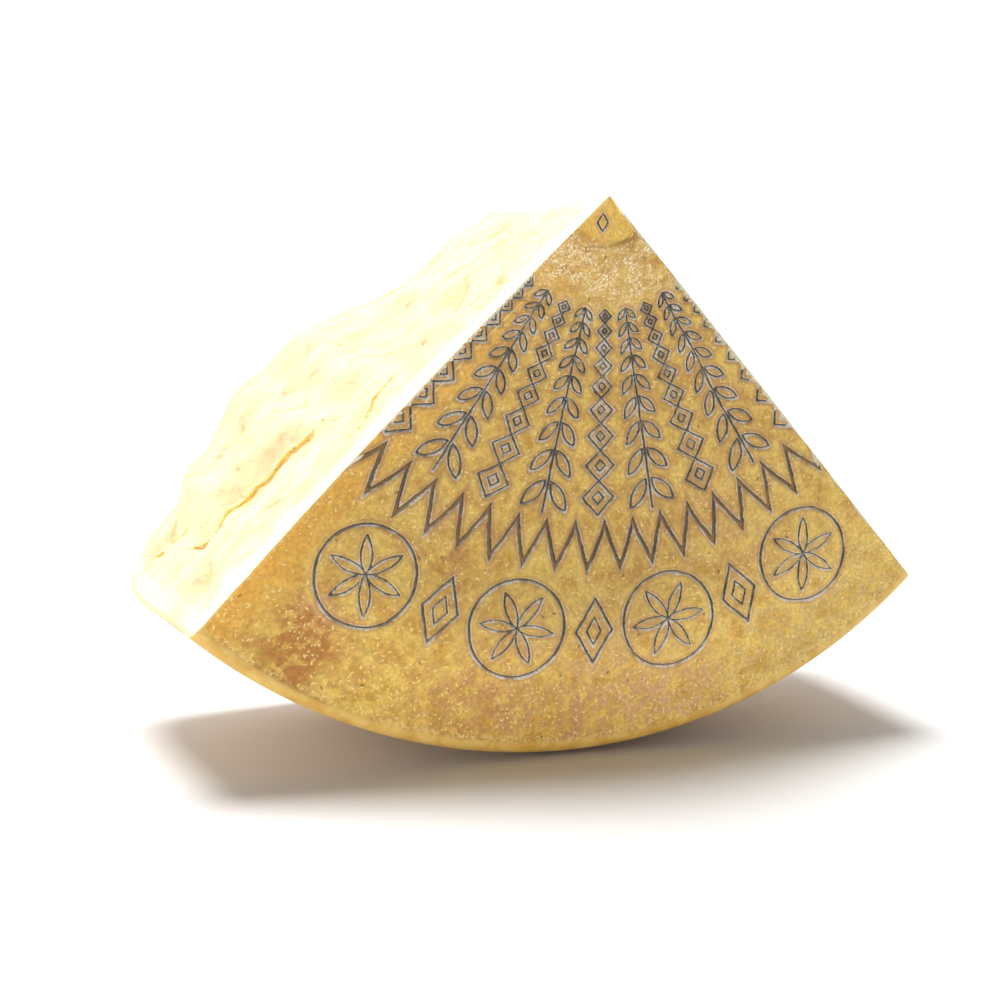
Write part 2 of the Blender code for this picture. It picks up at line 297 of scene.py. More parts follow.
def rim_reach(angle, depth):
    """Distance from the point to the rim, along a line at this angle from straight down."""
    along = -POINT_SHIFT * np.sin(angle)
    rise, top = BULGE_RISE
    behind_top = ease((depth - top) / (HALF_HEIGHT - top))
    hump = ease((depth - rise) / (top - rise)) * (1.0 - BULGE_LOSS * behind_top)
    bulge = END_BULGE * hump * ease((-angle - BULGE_FROM) / (LEFT_SPAN - BULGE_FROM))
    return along + np.sqrt(rim_radius(depth) ** 2 - POINT_SHIFT ** 2 + along ** 2) + bulge


def ledge_drop(far, depth):
    """How far the left side drops behind its ledges."""
    drop = np.zeros_like(far)
    for step, reach, path in LEDGES:
        places, depths = np.array(path).T
        behind = depth - np.interp(far, places, depths)
        ends = ease((far - places[0]) / LEDGE_FADE) * ease((places[-1] - far) / LEDGE_FADE)
        drop += step * ends * ease(behind / LEDGE_LIP) * (1.0 - ease(behind / reach))
    return drop


def side_relief(points, far, depth, rim, crest, bow, seed):
    """How far a side stands out of its cut plane: bowed edge, crest that rises to the back, and lumps."""
    behind = ease((depth - KNIFE_STRIP) / (HALF_HEIGHT - KNIFE_STRIP))
    wander = CREST_WANDER * noise(points, WANDER_SIZE, seed + 20) * (1.0 - behind)
    height = rounded(crest, far + wander, CREST_ROUNDING) * behind
    edge = bow * np.sin(math.pi * np.clip(far / rim, 0.0, 1.0))
    rough = (ease((depth - KNIFE_STRIP) / OFF_STRIP) * ease(far / OFF_POINT)
             * ease((rim - RIND - far) / OFF_RIND))
    calm = 1.0 - CALM_SHARE * ease((depth - CALM_FROM) / (HALF_HEIGHT - CALM_FROM))
    return height + edge + rough * calm * lumps(points, seed)


def shape(across, along, depth):
    """Place points of the sector: across and along go from 0 to 1, left to right and point to rim."""
    angle = across * SPAN - LEFT_SPAN
    rim = rim_reach(angle, depth)
    far = along * rim
    points = np.stack([far * np.sin(angle), -far * np.cos(angle), depth], axis=-1)

    # A side's relief turns its points round the sector's point, and fades towards the other side.
    # The rim stays on the wheel's circle.
    left = side_relief(points, far, depth, rim, LEFT_CREST, LEFT_BOW, LUMP_SEED) - ledge_drop(far, depth)
    right = side_relief(points, far, depth, rim, RIGHT_CREST, RIGHT_BOW, LUMP_SEED + 40)
    angle = angle + (right * across ** 3 - left * (1.0 - across) ** 3) / np.maximum(far, NEAREST)
    far = along * rim_reach(angle, depth)
    x, y = far * np.sin(angle), -far * np.cos(angle)

    near_back = ease((depth / HALF_HEIGHT - BACK_FROM) / (1.0 - BACK_FROM))
    off_rim = ease((rim - RIND - far) / OFF_RIND) * ease(far / OFF_POINT)
    to_side = far * SPAN * np.minimum(across, 1.0 - across)
    off_sides = BACK_EDGE_SHARE + (1.0 - BACK_EDGE_SHARE) * ease(to_side / BACK_EDGE)
    back = near_back * off_rim * off_sides * lumps(points, LUMP_SEED + 80)
    return np.stack([x, y, depth + back], axis=-1)


def set_down(points):
    """Turn the sector's axes into the table's: lean it forward, and lower it until its flat spot is at z = 0."""
    depths = np.linspace(0.0, HALF_HEIGHT, PROFILE_STEPS)
    lowest = np.max(rim_radius(depths) * math.cos(LEAN) - depths * math.sin(LEAN))
    x, y, depth = points[..., 0], points[..., 1], points[..., 2]
    return np.stack([x + POINT_X,
                     depth * math.cos(LEAN) - y * math.sin(LEAN) + POINT_Y,
                     depth * math.sin(LEAN) + y * math.cos(LEAN) + lowest - FLAT_TRIM], axis=-1)


def nibbled(across, along, depth):
    """Points of the sector, worn along its edges: they move towards the heart by up to half a millimetre, more where
    two sizes of noise are high."""
    points = shape(across, along, depth)
    wear = np.clip(0.3 + 0.5 * noise(points, 0.006, 71) + 0.5 * noise(points, 0.0021, 72), 0.0, 1.6)
    inwards = np.array(HEART) - points
    inwards /= np.linalg.norm(inwards, axis=-1, keepdims=True)
    return points + inwards * (WEAR * wear * edge_nearness(across, along, depth))[..., None]


def edge_nearness(across, along, depth):
    """1 at the sector's long edges and 0 from WEAR_REACH away: the front edges of the sides and the rim's ends. The
    right side's edges are less worn."""
    far = along * FACE_RADIUS
    side = far * SPAN * np.minimum(across, 1.0 - across)
    front = np.hypot(side, depth)
    end = np.hypot(side, (1.0 - along) * FACE_RADIUS)
    return (1.0 - ease(np.minimum(front, end) / WEAR_REACH)) * (1.0 - 0.75 * ease(3.0 * across - 1.0))


def lozenge(x, y, half_x, half_y):
    """Distance from the outline of a lozenge: how far |x| / half_x + |y| / half_y is from 1, as a length."""
    return np.abs(np.abs(x) * half_y + np.abs(y) * half_x - half_x * half_y) / math.hypot(half_x, half_y)


def grain_outline(x, y, half_width, half_length):
    """Distance from a pointed oval made by two equal arcs that meet at its tips."""
    radius = (half_length ** 2 + half_width ** 2) / (2.0 * half_width)
    offset = radius - half_width
    x, y = np.abs(x), np.abs(y)
    past_tip = (y - half_length) * offset > x * half_length
    return np.where(past_tip, np.hypot(x, y - half_length), np.abs(np.hypot(x + offset, y) - radius))


def column_lines(far, angle):
    """Distance from the lines stamped in columns: chains of lozenges, and ears of grain between them. The columns
    are drawn in angle and logarithm of distance, where shapes keep their form as they grow outwards."""
    number = np.round(angle / COLUMN_TURN)
    across = angle - number * COLUMN_TURN
    run = np.log(far / COLUMN_FROM)
    length = math.log(COLUMN_TO / COLUMN_FROM)
    cell = length / COLUMN_CELLS
    inside = np.clip(run, 0.0, length)
    row = np.clip(np.floor(inside / cell), 0, COLUMN_CELLS - 1)
    place = inside - (row + 0.5) * cell
    chain = np.minimum(lozenge(across, place, CHAIN_HALF_WIDTH, cell / 2.0), lozenge(across, place, *CORE_HALF))
    ear = np.abs(across)
    for shift in (-1, 0, 1):
        x, y = np.abs(across) - GRAIN_OUT, place - shift * cell
        x, y = (x * math.cos(GRAIN_SLANT) - y * math.sin(GRAIN_SLANT),
                x * math.sin(GRAIN_SLANT) + y * math.cos(GRAIN_SLANT))
        there = (row + shift >= 0) & (row + shift < COLUMN_CELLS)
        ear = np.where(there, np.minimum(ear, grain_outline(x, y, *GRAIN_HALF)), ear)
    flat = np.where(number % 2 == 0, chain, ear)
    return np.hypot(flat, run - inside) * far


def border_lines(far, angle):
    """Distance from the zigzag that closes the columns: a triangle wave of distance over angle."""
    phase = np.abs((angle / BORDER_TURN + 0.25) % 1.0 - 0.5) * 2.0
    middle, swing = (BORDER_FROM + BORDER_TO) / 2.0, (BORDER_TO - BORDER_FROM) / 2.0
    slope = 4.0 * swing / (BORDER_TURN * middle)
    return np.abs(far - middle - swing * (2.0 * phase - 1.0)) / math.hypot(1.0, slope)


def at_stamp(x, y, degrees):
    """Turn points so that they are across and beyond the middle of the stamp at this angle."""
    turn = math.radians(degrees)
    return x * math.cos(turn) + y * math.sin(turn), x * math.sin(turn) - y * math.cos(turn) - STAMP_REACH


def ring_lines(x, y):
    """Distances from the round stamps and the lozenges between them: (rings and large lozenges, fine lines)."""
    bold = np.full(x.shape, 1.0)
    fine = bold.copy()
    for degrees in RING_ANGLES:
        side, out = at_stamp(x, y, degrees)
        away = np.hypot(side, out)
        bold = np.minimum(bold, np.abs(away - RING_RADIUS))
        for petal in np.arange(PETALS) * 2.0 * math.pi / PETALS:
            arc = np.abs(np.hypot(side - PETAL_RADIUS * math.cos(petal), out - PETAL_RADIUS * math.sin(petal))
                         - PETAL_RADIUS)
            fine = np.minimum(fine, np.hypot(arc, np.maximum(away - PETAL_RADIUS, 0.0)))
    for degrees in LOZENGE_ANGLES:
        side, out = at_stamp(x, y, degrees)
        bold = np.minimum(bold, lozenge(side, out, *LOZENGE_HALF))
        fine = np.minimum(fine, lozenge(side, out, *(LOZENGE_CORE * half for half in LOZENGE_HALF)))
    return bold, fine


def stamps(x, y):
    """Signed distance from the edge of the nearest stamped groove, below 0 inside it, and 1 where that groove is
    one of the wide ones of the border. The lines waver by a tenth of a millimetre or two."""
    flat = flat_points(x, y)
    x, y = (value + MM * (0.16 * noise(flat, 0.004, seed) + 0.35 * noise(flat, 0.019, seed + 1))
            for value, seed in ((x, 31), (y, 33)))
    far = np.maximum(np.hypot(x, y), 1e-4)
    angle = np.arctan2(x, -y)
    columns = column_lines(far, angle) - (COLUMN_LINE + COLUMN_LINE_GROWTH * far)
    border = border_lines(far, angle) - BORDER_LINE
    bold, fine = ring_lines(x, y)
    mark = lozenge(x - POINT_MARK[0], y - POINT_MARK[1], *POINT_MARK_HALF) - MARK_LINE
    rest = np.minimum.reduce([columns, bold - RING_LINE, fine - FINE_LINE, mark])
    return np.minimum(rest, border), (border < rest).astype(float)


def wall_facing(x, y):
    """How far the ground beside a groove faces down the piece: the slope of the distance to the nearest groove, taken
    over half a millimetre along a line that leans a little to the left."""
    reach_x, reach_y = -0.09 * MM, -0.24 * MM
    ahead, _ = stamps(x + reach_x, y + reach_y)
    behind, _ = stamps(x - reach_x, y - reach_y)
    return (ahead - behind) / (2.0 * math.hypot(reach_x, reach_y))


def face_relief(x, y, groove_depth, roughness):
    """How far the rind face lies below its plane: the grooves' floors, grain of three sizes, and the crease near
    the point."""
    flat = flat_points(x, y)
    edge, border = stamps(x, y)
    pressed = 0.8 + 0.35 * noise(flat, 0.014, 41)
    floor = groove_depth * np.clip(pressed, 0.35, 1.3) * (1.0 + 0.35 * border) * ease(0.25 - edge / (0.42 * MM))
    grain = MM * sum(height * noise(flat, size, seed) for height, size, seed in FACE_GRAIN)
    crease = np.abs(np.hypot(x + 0.003, y) - 0.0165 + 0.0007 * noise(flat, 0.005, 45))
    crease = 0.35 * MM * (1.0 - ease(crease / (0.6 * MM)))
    return np.clip(floor + crease + roughness * (0.28 * MM + grain), 0.0, None), edge, border


def face_tone(x, y):
    """Colour weights over the rind face: brown, pink and olive clouds where noise is high, and the clouds of CLOUDS,
    each a bell curve round its middle."""
    flat = flat_points(x, y)
    broad = noise(flat, 0.030, 51) + 0.5 * noise(flat, 0.012, 52)
    second = noise(flat, 0.036, 53) + 0.5 * noise(flat, 0.010, 54)
    tones = {"brown": 0.30 * np.clip(broad, 0.0, 1.0), "pink": 0.35 * np.clip(second, 0.0, 1.0),
             "olive": 0.35 * np.clip(-second, 0.0, 1.0)}
    for name, clouds in CLOUDS.items():
        for strength, at_x, at_y, size, ragged in clouds:
            gap = np.hypot(x - at_x, y - at_y) / size
            tones[name] += strength * np.exp(-gap ** 2) * np.clip(1.0 + ragged * broad, 0.0, 2.0)
    return tones


def paste_relief(points, rough, strength):
    """How far the broken paste lies below the part's surface, where rough is 1: slanting facets of two sizes, small
    rounded grains with gaps between them, and a fine tooth."""
    bent = points + 0.0016 * np.stack([noise(points, 0.007, seed) for seed in (60, 61, 62)], axis=-1)
    large = np.clip(0.7 + 0.40 * facets(bent, 0.013, 63), 0.0, 1.8)
    middle = np.clip(0.3 + 0.16 * facets(bent, 0.0055, 64), 0.0, 0.8)
    small, next_small = cells(bent, 0.0028, 65)
    gaps = np.clip(1.0 - (next_small - small) / 0.14, 0.0, 1.0)
    fine = 0.05 * noise(points, 0.0013, 66)
    return strength * rough * MM * (large + middle + 0.16 * small + 0.08 * gaps + fine + 0.1)


def grid_faces(rows, columns, first):
    """The quads of a grid of rows by columns vertices whose numbers start at first."""
    corner = first + (np.arange(rows - 1)[:, None] * columns + np.arange(columns - 1)).ravel()
    return np.column_stack([corner, corner + 1, corner + columns + 1, corner + columns])


def normals(points):
    """The unit normals of a grid of points: the cross product of its two directions."""
    cross = np.cross(np.gradient(points, axis=0), np.gradient(points, axis=1))
    return cross / np.maximum(np.linalg.norm(cross, axis=-1, keepdims=True), 1e-12)


def inward(points, relief):
    """Move a grid's points inwards along its normals, which are turned to face the heart."""
    across = normals(points)
    towards = np.sum(across * (np.array(HEART) - points), axis=-1, keepdims=True)
    return points + across * np.sign(towards) * relief[..., None]


def joined(grids):
    """Grids as one surface, with equal points joined: its points, its triangles and {attribute: values}."""
    points, quads, values, first = [], [], {}, 0
    for grid, facts in grids:
        rows, columns = grid.shape[:2]
        points.append(grid.reshape(-1, 3))
        quads.append(grid_faces(rows, columns, first))
        first += rows * columns
        for key, value in facts.items():
            values.setdefault(key, []).append(np.ravel(value))
    points = np.concatenate(points)
    _, keep, number = np.unique(np.round(points, 8), axis=0, return_index=True, return_inverse=True)
    quads = number.ravel()[np.concatenate(quads)]
    triangles = np.concatenate([quads[:, [0, 1, 2]], quads[:, [0, 2, 3]]])
    a, b, c = triangles.T
    values = {key: np.concatenate(parts)[keep] for key, parts in values.items()}
    return points[keep], triangles[(a != b) & (b != c) & (c != a)], values


def closed(points, triangles):
    """Turn triangles outwards, and give every open edge a triangle to the heart, which becomes the last point. The
    edges that were open are given too."""
    a, b, c = (points[triangles[:, n]] for n in range(3))
    outwards = np.sum(np.cross(b - a, c - a) * ((a + b + c) / 3.0 - np.array(HEART)), axis=1)
    if np.sum(outwards) < 0.0:
        triangles = triangles[:, ::-1]
    heart = len(points)
    edges = np.concatenate([triangles[:, [0, 1]], triangles[:, [1, 2]], triangles[:, [2, 0]]])
    codes = edges[:, 0] * (heart + 1) + edges[:, 1]
    reverse = edges[:, 1] * (heart + 1) + edges[:, 0]
    open_edges = edges[~np.isin(codes, reverse)]
    fan = np.column_stack([open_edges[:, 1], open_edges[:, 0], np.full(len(open_edges), heart)])
    return np.concatenate([points, np.array([HEART])]), np.concatenate([triangles, fan]), open_edges


def closed_piece(name, grids, low, high):
    """A closed mesh, kept inside the part's box, from grids given as (points in sector axes, {attribute: values}).
    Its shading is smooth, but for the edges where it meets another piece."""
    points, triangles, values = joined(grids)
    points, triangles, open_edges = closed(points, triangles)
    placed = set_down(points)
    placed[:, 2] = np.maximum(placed[:, 2], 0.0)
    placed = np.clip(placed, low, high)

    mesh = bpy.data.meshes.new(name)
    mesh.vertices.add(len(placed))
    mesh.vertices.foreach_set("co", placed.astype(np.float32).ravel())
    mesh.loops.add(triangles.size)
    mesh.loops.foreach_set("vertex_index", triangles.astype(np.int32).ravel())
    mesh.polygons.add(len(triangles))
    mesh.polygons.foreach_set("loop_start", np.arange(0, triangles.size, 3, dtype=np.int32))
    mesh.update(calc_edges=True)
    mesh.validate()
    mesh.polygons.foreach_set("use_smooth", np.ones(len(mesh.polygons), dtype=bool))
    for key, value in values.items():
        layer = mesh.attributes.new(key, "FLOAT", "POINT")
        layer.data.foreach_set("value", np.append(value, 0.0).astype(np.float32))

    ends = np.empty(len(mesh.edges) * 2, dtype=np.int32)
    mesh.edges.foreach_get("vertices", ends)
    ends = np.sort(ends.reshape(-1, 2), axis=1)
    meets = np.sort(open_edges, axis=1)
    count = len(points)
    layer = mesh.attributes.new("sharp_edge", "BOOLEAN", "EDGE")
    layer.data.foreach_set("value", np.isin(ends[:, 0] * count + ends[:, 1], meets[:, 0] * count + meets[:, 1]))
    return mesh


def fan_grid(count):
    """Across and reach over a sector as a square of nodes: reach is the larger of the two coordinates, and the
    angle goes by their ratio, so the rows are even all the way to the point."""
    p, q = np.meshgrid(np.linspace(0.0, 1.0, count + 1), np.linspace(0.0, 1.0, count + 1), indexing="ij")
    reach = np.maximum(p, q)
    small = np.minimum(p, q) / np.maximum(reach, 1e-9)
    across = np.where(q <= p, 0.5 * small, 1.0 - 0.5 * small)
    return np.where(reach > 0.0, across, 0.5), reach


def face_grid(across, along, depth, groove_depth, roughness, fade):
    """The front face's points with stamps and grain pressed in, and the facts its material reads. fade is 0 where
    the relief has to meet another piece."""
    points = nibbled(across, along, depth)
    x, y = points[..., 0], points[..., 1]
    relief, edge, border = face_relief(x, y, groove_depth, roughness)
    side = along * FACE_RADIUS * SPAN * np.minimum(across, 1.0 - across)
    points[..., 2] += relief * fade * ease(side / SIDE_FADE + 0.15)
    far = np.hypot(x, y)
    facts = {
        "stamp_edge": np.clip(edge / MM, -2.0, 4.0),
        "border": border,
        # Facing drives the stamps' painted shade on the upper walls and painted highlight below the grooves
        "facing": wall_facing(x, y) * ease((4.0 * MM - edge) / MM),
        "reach": far / MM,
        "left_side": np.clip(np.where(across < 0.5, side, 1.0) / MM, 0.0, 60.0),
        "right_side": np.clip(np.where(across >= 0.5, side, 1.0) / MM, 0.0, 60.0),
        "to_rim": (rim_reach(np.arctan2(x, -y), np.zeros_like(x)) - far) / MM,
        **face_tone(x, y),
    }
    return points, facts


def heel_depths():
    """Depths round the heel, close together where it turns."""
    return HEEL_DEPTH * (1.0 - np.cos(np.linspace(0.0, math.pi / 2.0, HEEL_ROWS)))


def side_rows(count):
    """Depths from the face to the back: fine at the heel, even behind it."""
    return np.concatenate([heel_depths(), np.linspace(HEEL_DEPTH, HALF_HEIGHT, count)[1:]])


def point_mesh(settings, low, high):
    """The face from the point to BAND_FROM."""
    across, reach = fan_grid(settings.point_rows)
    along = reach * BAND_FROM / rim_reach(across * SPAN - LEFT_SPAN, np.zeros_like(across))
    grid = face_grid(across, along, np.zeros_like(along), settings.groove_depth, settings.face_grain, 1.0)
    return closed_piece("rind_point", [grid], low, high)


def band_mesh(settings, low, high):
    """The face from BAND_FROM to the rim, then round the heel."""
    across = np.linspace(0.0, 1.0, 2 * settings.point_rows + 1)[None, :]
    start = BAND_FROM / rim_reach(across * SPAN - LEFT_SPAN, np.zeros_like(across))
    way = np.linspace(0.0, 1.0, settings.band_rows)[:, None]
    along = np.concatenate([start - TUCK / FACE_RADIUS, start + (1.0 - start) * way])
    fade = ease((1.0 - along) * FACE_RADIUS / BAND_FADE)
    face = face_grid(np.broadcast_to(across, along.shape), along, np.zeros_like(along), settings.groove_depth,
                     settings.face_grain, fade)
    face[0][0, :, 2] += TUCK_DEPTH
    across_heel, depth = np.broadcast_arrays(across, heel_depths()[:, None])
    heel = face_grid(across_heel, np.ones_like(depth), depth, 0.0, 0.0, 0.0)
    return closed_piece("rind_band", [face, heel], low, high)


def rim_mesh(settings, low, high):
    """The curved rim from behind the heel to the broken back, on which the piece stands."""
    across, depth = np.broadcast_arrays(np.linspace(0.0, 1.0, settings.rim_columns)[None, :],
                                        np.linspace(HEEL_DEPTH, HALF_HEIGHT, settings.rim_rows)[:, None])
    points = nibbled(across, np.ones_like(across), depth)
    x, y = points[..., 0], points[..., 1]
    inside = (ease((depth - HEEL_DEPTH) / 0.004) * ease((HALF_HEIGHT - depth) / 0.004)
              * ease(across / 0.015) * ease((1.0 - across) / 0.015))
    dents = 0.25 * MM * (1.0 + noise(points, 0.016, 47)) + 0.08 * MM * (1.0 + noise(points, 0.003, 48))
    outwards = flat_points(x, y) / np.hypot(x, y)[..., None]
    points = points - outwards * (np.clip(dents, 0.0, None) * inside)[..., None]
    brown = np.clip(0.5 + noise(points, 0.03, 55), 0.0, 1.0)
    return closed_piece("rind_rim", [(points, {"brown": brown})], low, high)


def broken_base(across, along, depth):
    """A broken side's or the back's surface before its relief: its points, their distances from the point and to
    the rim, and a share that is 0 at both ends."""
    base = nibbled(across, along, depth)
    far = np.hypot(base[..., 0], base[..., 1])
    to_rim = rim_reach(across * SPAN - LEFT_SPAN, depth) - far
    return base, far, to_rim, ease(far / 0.008) * ease(to_rim / 0.004)


def side_roughness(base, depth):
    """1 where a side is broken, and 0 on the strip that the knife scored and along the back."""
    strip_edge = KNIFE_STRIP + 0.0045 * noise(base, 0.024, 67) + 0.0022 * noise(base, 0.007, 68)
    return ease((depth - strip_edge) / 0.006) * ease((HALF_HEIGHT - depth) / 0.003)


def off_rind(to_rim):
    """0 on the smooth rind along the rim's ends, and 1 on the paste."""
    return ease((to_rim - RIND) / 0.006)


def cracks(base, far, depth):
    """In front of each ledge of the left side: the dip's depth, and the painted shade on the riser and round it."""
    ragged = 1.5 * MM * noise(base, 0.0050, 75) + 1.2 * MM * noise(base, 0.0017, 76)
    dip, riser_shade, dip_shade = (np.zeros_like(far) for _ in range(3))
    for (height, reach, strength), (_, _, path) in zip(CRACKS, LEDGES):
        places, depths = np.array(path).T
        front = np.interp(far, places, depths) - depth + ragged
        ends = ease((far - places[0]) / LEDGE_FADE) * ease((places[-1] - far) / LEDGE_FADE)
        dip = dip + height * ends * ease(front / CRACK_WIDTH) * (1.0 - ease(front / reach))
        near = ease(front / (0.15 * MM) + 1.0) * (1.0 - ease((front - CRACK_WIDTH) / CRACK_WIDTH))
        riser_shade = np.maximum(riser_shade, strength * np.sqrt(ends) * near)
        dip_shade = np.maximum(dip_shade, strength * ends * np.exp(-np.abs(front) / (2.2 * MM)) * ease(front / MM + 1.0))
    return dip, riser_shade, dip_shade


def pits(base, far, depth):
    """1 in the middles of the left side's pits, whose outlines waver."""
    shift_far, shift_depth = (0.0012 * noise(base, 0.0035, seed) for seed in (73, 74))
    pit = np.zeros_like(far)
    for n, (at, deep) in enumerate(PITS):
        size = 0.0019 + 0.0011 * math.sin(2.3 * n)
        gap = np.hypot(far - at + shift_far, (depth - deep + shift_depth) * 0.8) / size
        pit = np.maximum(pit, 1.0 - ease(gap))
    return pit


def left_mesh(settings, low, high):
    """The left side: smooth where the knife scored it, broken behind, with cracks, pits and a flake."""
    along, depth = np.broadcast_arrays(np.linspace(0.0, 1.0, settings.side_columns)[None, :],
                                       side_rows(settings.side_rows)[:, None])
    base, far, to_rim, off_ends = broken_base(np.zeros_like(along), along, depth)
    rough = side_roughness(base, depth) * off_rind(to_rim) * off_ends
    scratches = noise(base * np.array([1.0, 1.0, 0.12]) + 0.3, 0.0009, 69)
    scored = (1.0 - rough) * off_ends * ease((depth - 0.0008) / 0.001)
    dip, riser_shade, dip_shade = cracks(base, far, depth)
    pit = pits(base, far, depth)
    relief = (paste_relief(base, rough, settings.paste_relief)
              + scored * MM * (0.10 + 0.05 * scratches + 0.12 * np.abs(noise(base, 0.005, 70)))
              + dip + 0.9 * MM * pit)
    grid = inward(base, relief)
    grid[0], grid[:, 0], grid[:, -1], grid[-1] = base[0], base[:, 0], base[:, -1], base[-1]
    peach = np.exp(-((far - THIN_RIND[0]) / 0.007) ** 2 - ((depth - THIN_RIND[1]) / 0.012) ** 2)
    facts = {
        # Yellow painted shade on the cracks' risers and in the dips before them
        "riser_shade": riser_shade,
        "dip_shade": dip_shade,
        "pit": pit,
        "peach": peach * np.clip(0.8 + 0.6 * noise(base, 0.008, 77), 0.0, 1.4),
        "rough": rough,
        "seam": np.minimum.reduce([depth, HALF_HEIGHT - depth, to_rim, far]) / MM,
        "rind_edge": np.clip(to_rim / RIND, 0.0, 1.0),
    }
    return closed_piece("paste_left", [(grid, facts)], low, high)


def body_mesh(settings, low, high):
    """The right side and the broken back, one surface round the sector's back right edge."""
    along, depth = np.broadcast_arrays(np.linspace(0.0, 1.0, settings.back_rows + 1)[None, :],
                                       side_rows(settings.body_rows)[:, None])
    across_back, along_back = fan_grid(settings.back_rows)
    grids = []
    for across, reach, deep in ((np.ones_like(along), along, depth),
                                (across_back, along_back, np.full_like(along_back, HALF_HEIGHT))):
        base, far, to_rim, off_ends = broken_base(across, reach, deep)
        if deep is depth:
            rough = side_roughness(base, depth)
            seam = np.minimum.reduce([depth, to_rim, far])
        else:
            side = reach * FACE_RADIUS * SPAN * np.minimum(across, 1.0 - across)
            rough = ease(side / 0.003)
            seam = np.minimum(np.where(across < 0.5, side, 1.0), to_rim)
        rough = rough * off_rind(to_rim) * off_ends
        grid = inward(base, paste_relief(base, rough, settings.paste_relief))
        facts = {
            "riser_shade": np.zeros_like(far),
            "dip_shade": np.zeros_like(far),
            "pit": np.clip(2.0 * noise(base, 0.012, 76) - 1.1, 0.0, 1.0) * rough,
            "peach": np.zeros_like(far),
            "rough": rough,
            "seam": seam / MM,
            "rind_edge": np.clip(to_rim / RIND, 0.0, 1.0),
        }
        grids.append((np.where((rough > 0.0)[..., None], grid, base), facts))
    return closed_piece("paste_body", grids, low, high)


def linear(red, green, blue):
    """A colour given as 0 to 255 display values, as the linear values that shaders use."""
    def one(value):
        value = value / 255.0
        return value / 12.92 if value <= 0.04045 else ((value + 0.055) / 1.055) ** 2.4
    return one(red), one(green), one(blue), 1.0


def connect(tree, node, inputs):
    """Set or link a node's inputs: a socket is linked, anything else is set."""
    for key, value in dict(inputs).items():
        if isinstance(value, bpy.types.NodeSocket):
            tree.links.new(value, node.inputs[key])
        else:
            node.inputs[key].default_value = value
    return node


def put(tree, kind, inputs=(), **settings):
    """Add a node, set its properties and connect its inputs."""
    node = tree.nodes.new(kind)
    for key, value in settings.items():
        setattr(node, key, value)
    return connect(tree, node, inputs)


def use(tree, group, inputs):
    """The results of a node group put into a tree."""
    return put(tree, "ShaderNodeGroup", inputs, node_tree=group).outputs


def maths(tree, operation, a, b=0.0, clamp=False):
    """The result of one maths node."""
    return put(tree, "ShaderNodeMath", {0: a, 1: b}, operation=operation, use_clamp=clamp).outputs[0]


def times(tree, value, *others, clamp=False):
    """The product of several values, kept between 0 and 1 where clamp is on."""
    for n, other in enumerate(others, 1):
        value = maths(tree, "MULTIPLY", value, other, clamp and n == len(others))
    return value


def ramp(tree, value, start, end, low=0.0, high=1.0):
    """Go smoothly from low to high as value goes from start to end."""
    made = put(tree, "ShaderNodeMapRange", {"Value": value, "From Min": start, "From Max": end, "To Min": low,
                                            "To Max": high}, interpolation_type="SMOOTHSTEP")
    return made.outputs["Result"]


def within(tree, value, start, full, still, end):
    """1 where value is from full to still, and 0 before start and after end."""
    return times(tree, ramp(tree, value, start, full), ramp(tree, value, end, still))


def mix(tree, share, a, b, blend="MIX"):
    """Mix colour b into colour a by share."""
    made = put(tree, "ShaderNodeMix", {0: share, 6: a, 7: b}, data_type="RGBA", blend_type=blend)
    return made.outputs[2]


def coats(tree, colour, *layers):
    """Lay colours over a colour in turn, each given as (share, 0 to 255 display values)."""
    for share, shade in layers:
        colour = mix(tree, share, colour, linear(*shade))
    return colour


def fact(tree, name):
    """A value stored at the mesh's points."""
    return put(tree, "ShaderNodeAttribute", attribute_name=name).outputs["Fac"]


def speck_noise(tree, vector, size, detail=2.0):
    """Noise with features of about this size, in metres, between 0 and 1."""
    made = put(tree, "ShaderNodeTexNoise", {"Vector": vector, "Scale": 1.0 / size, "Detail": detail,
                                            "Roughness": 0.55})
    return made.outputs["Fac"]


def patches(tree, vector, size, start, end, low=0.0, high=1.0, detail=2.0):
    """Noise of this size, spread from low to high as it goes from start to end."""
    return ramp(tree, speck_noise(tree, vector, size, detail), start, end, low, high)


def new_group(name, inputs, outputs):
    """A node group with inputs given as {name: number, or None for a vector}, and outputs that are numbers."""
    tree = bpy.data.node_groups.new(name, "ShaderNodeTree")
    for label, default in inputs.items():
        kind = "NodeSocketVector" if default is None else "NodeSocketFloat"
        made = tree.interface.new_socket(label, in_out="INPUT", socket_type=kind)
        if default is not None:
            made.default_value = default
    for label in outputs:
        tree.interface.new_socket(label, in_out="OUTPUT", socket_type="NodeSocketFloat")
    return tree, tree.nodes.new("NodeGroupInput"), tree.nodes.new("NodeGroupOutput")


def face_vector(tree, vector):
    """Flat coordinates on the rind face: across it and up its slope."""
    split = put(tree, "ShaderNodeSeparateXYZ", {0: vector})
    up = put(tree, "ShaderNodeVectorMath", {0: vector, 1: (0.0, -math.sin(LEAN), math.cos(LEAN))},
             operation="DOT_PRODUCT")
    return put(tree, "ShaderNodeCombineXYZ", {"X": split.outputs["X"], "Y": up.outputs["Value"]}).outputs[0]


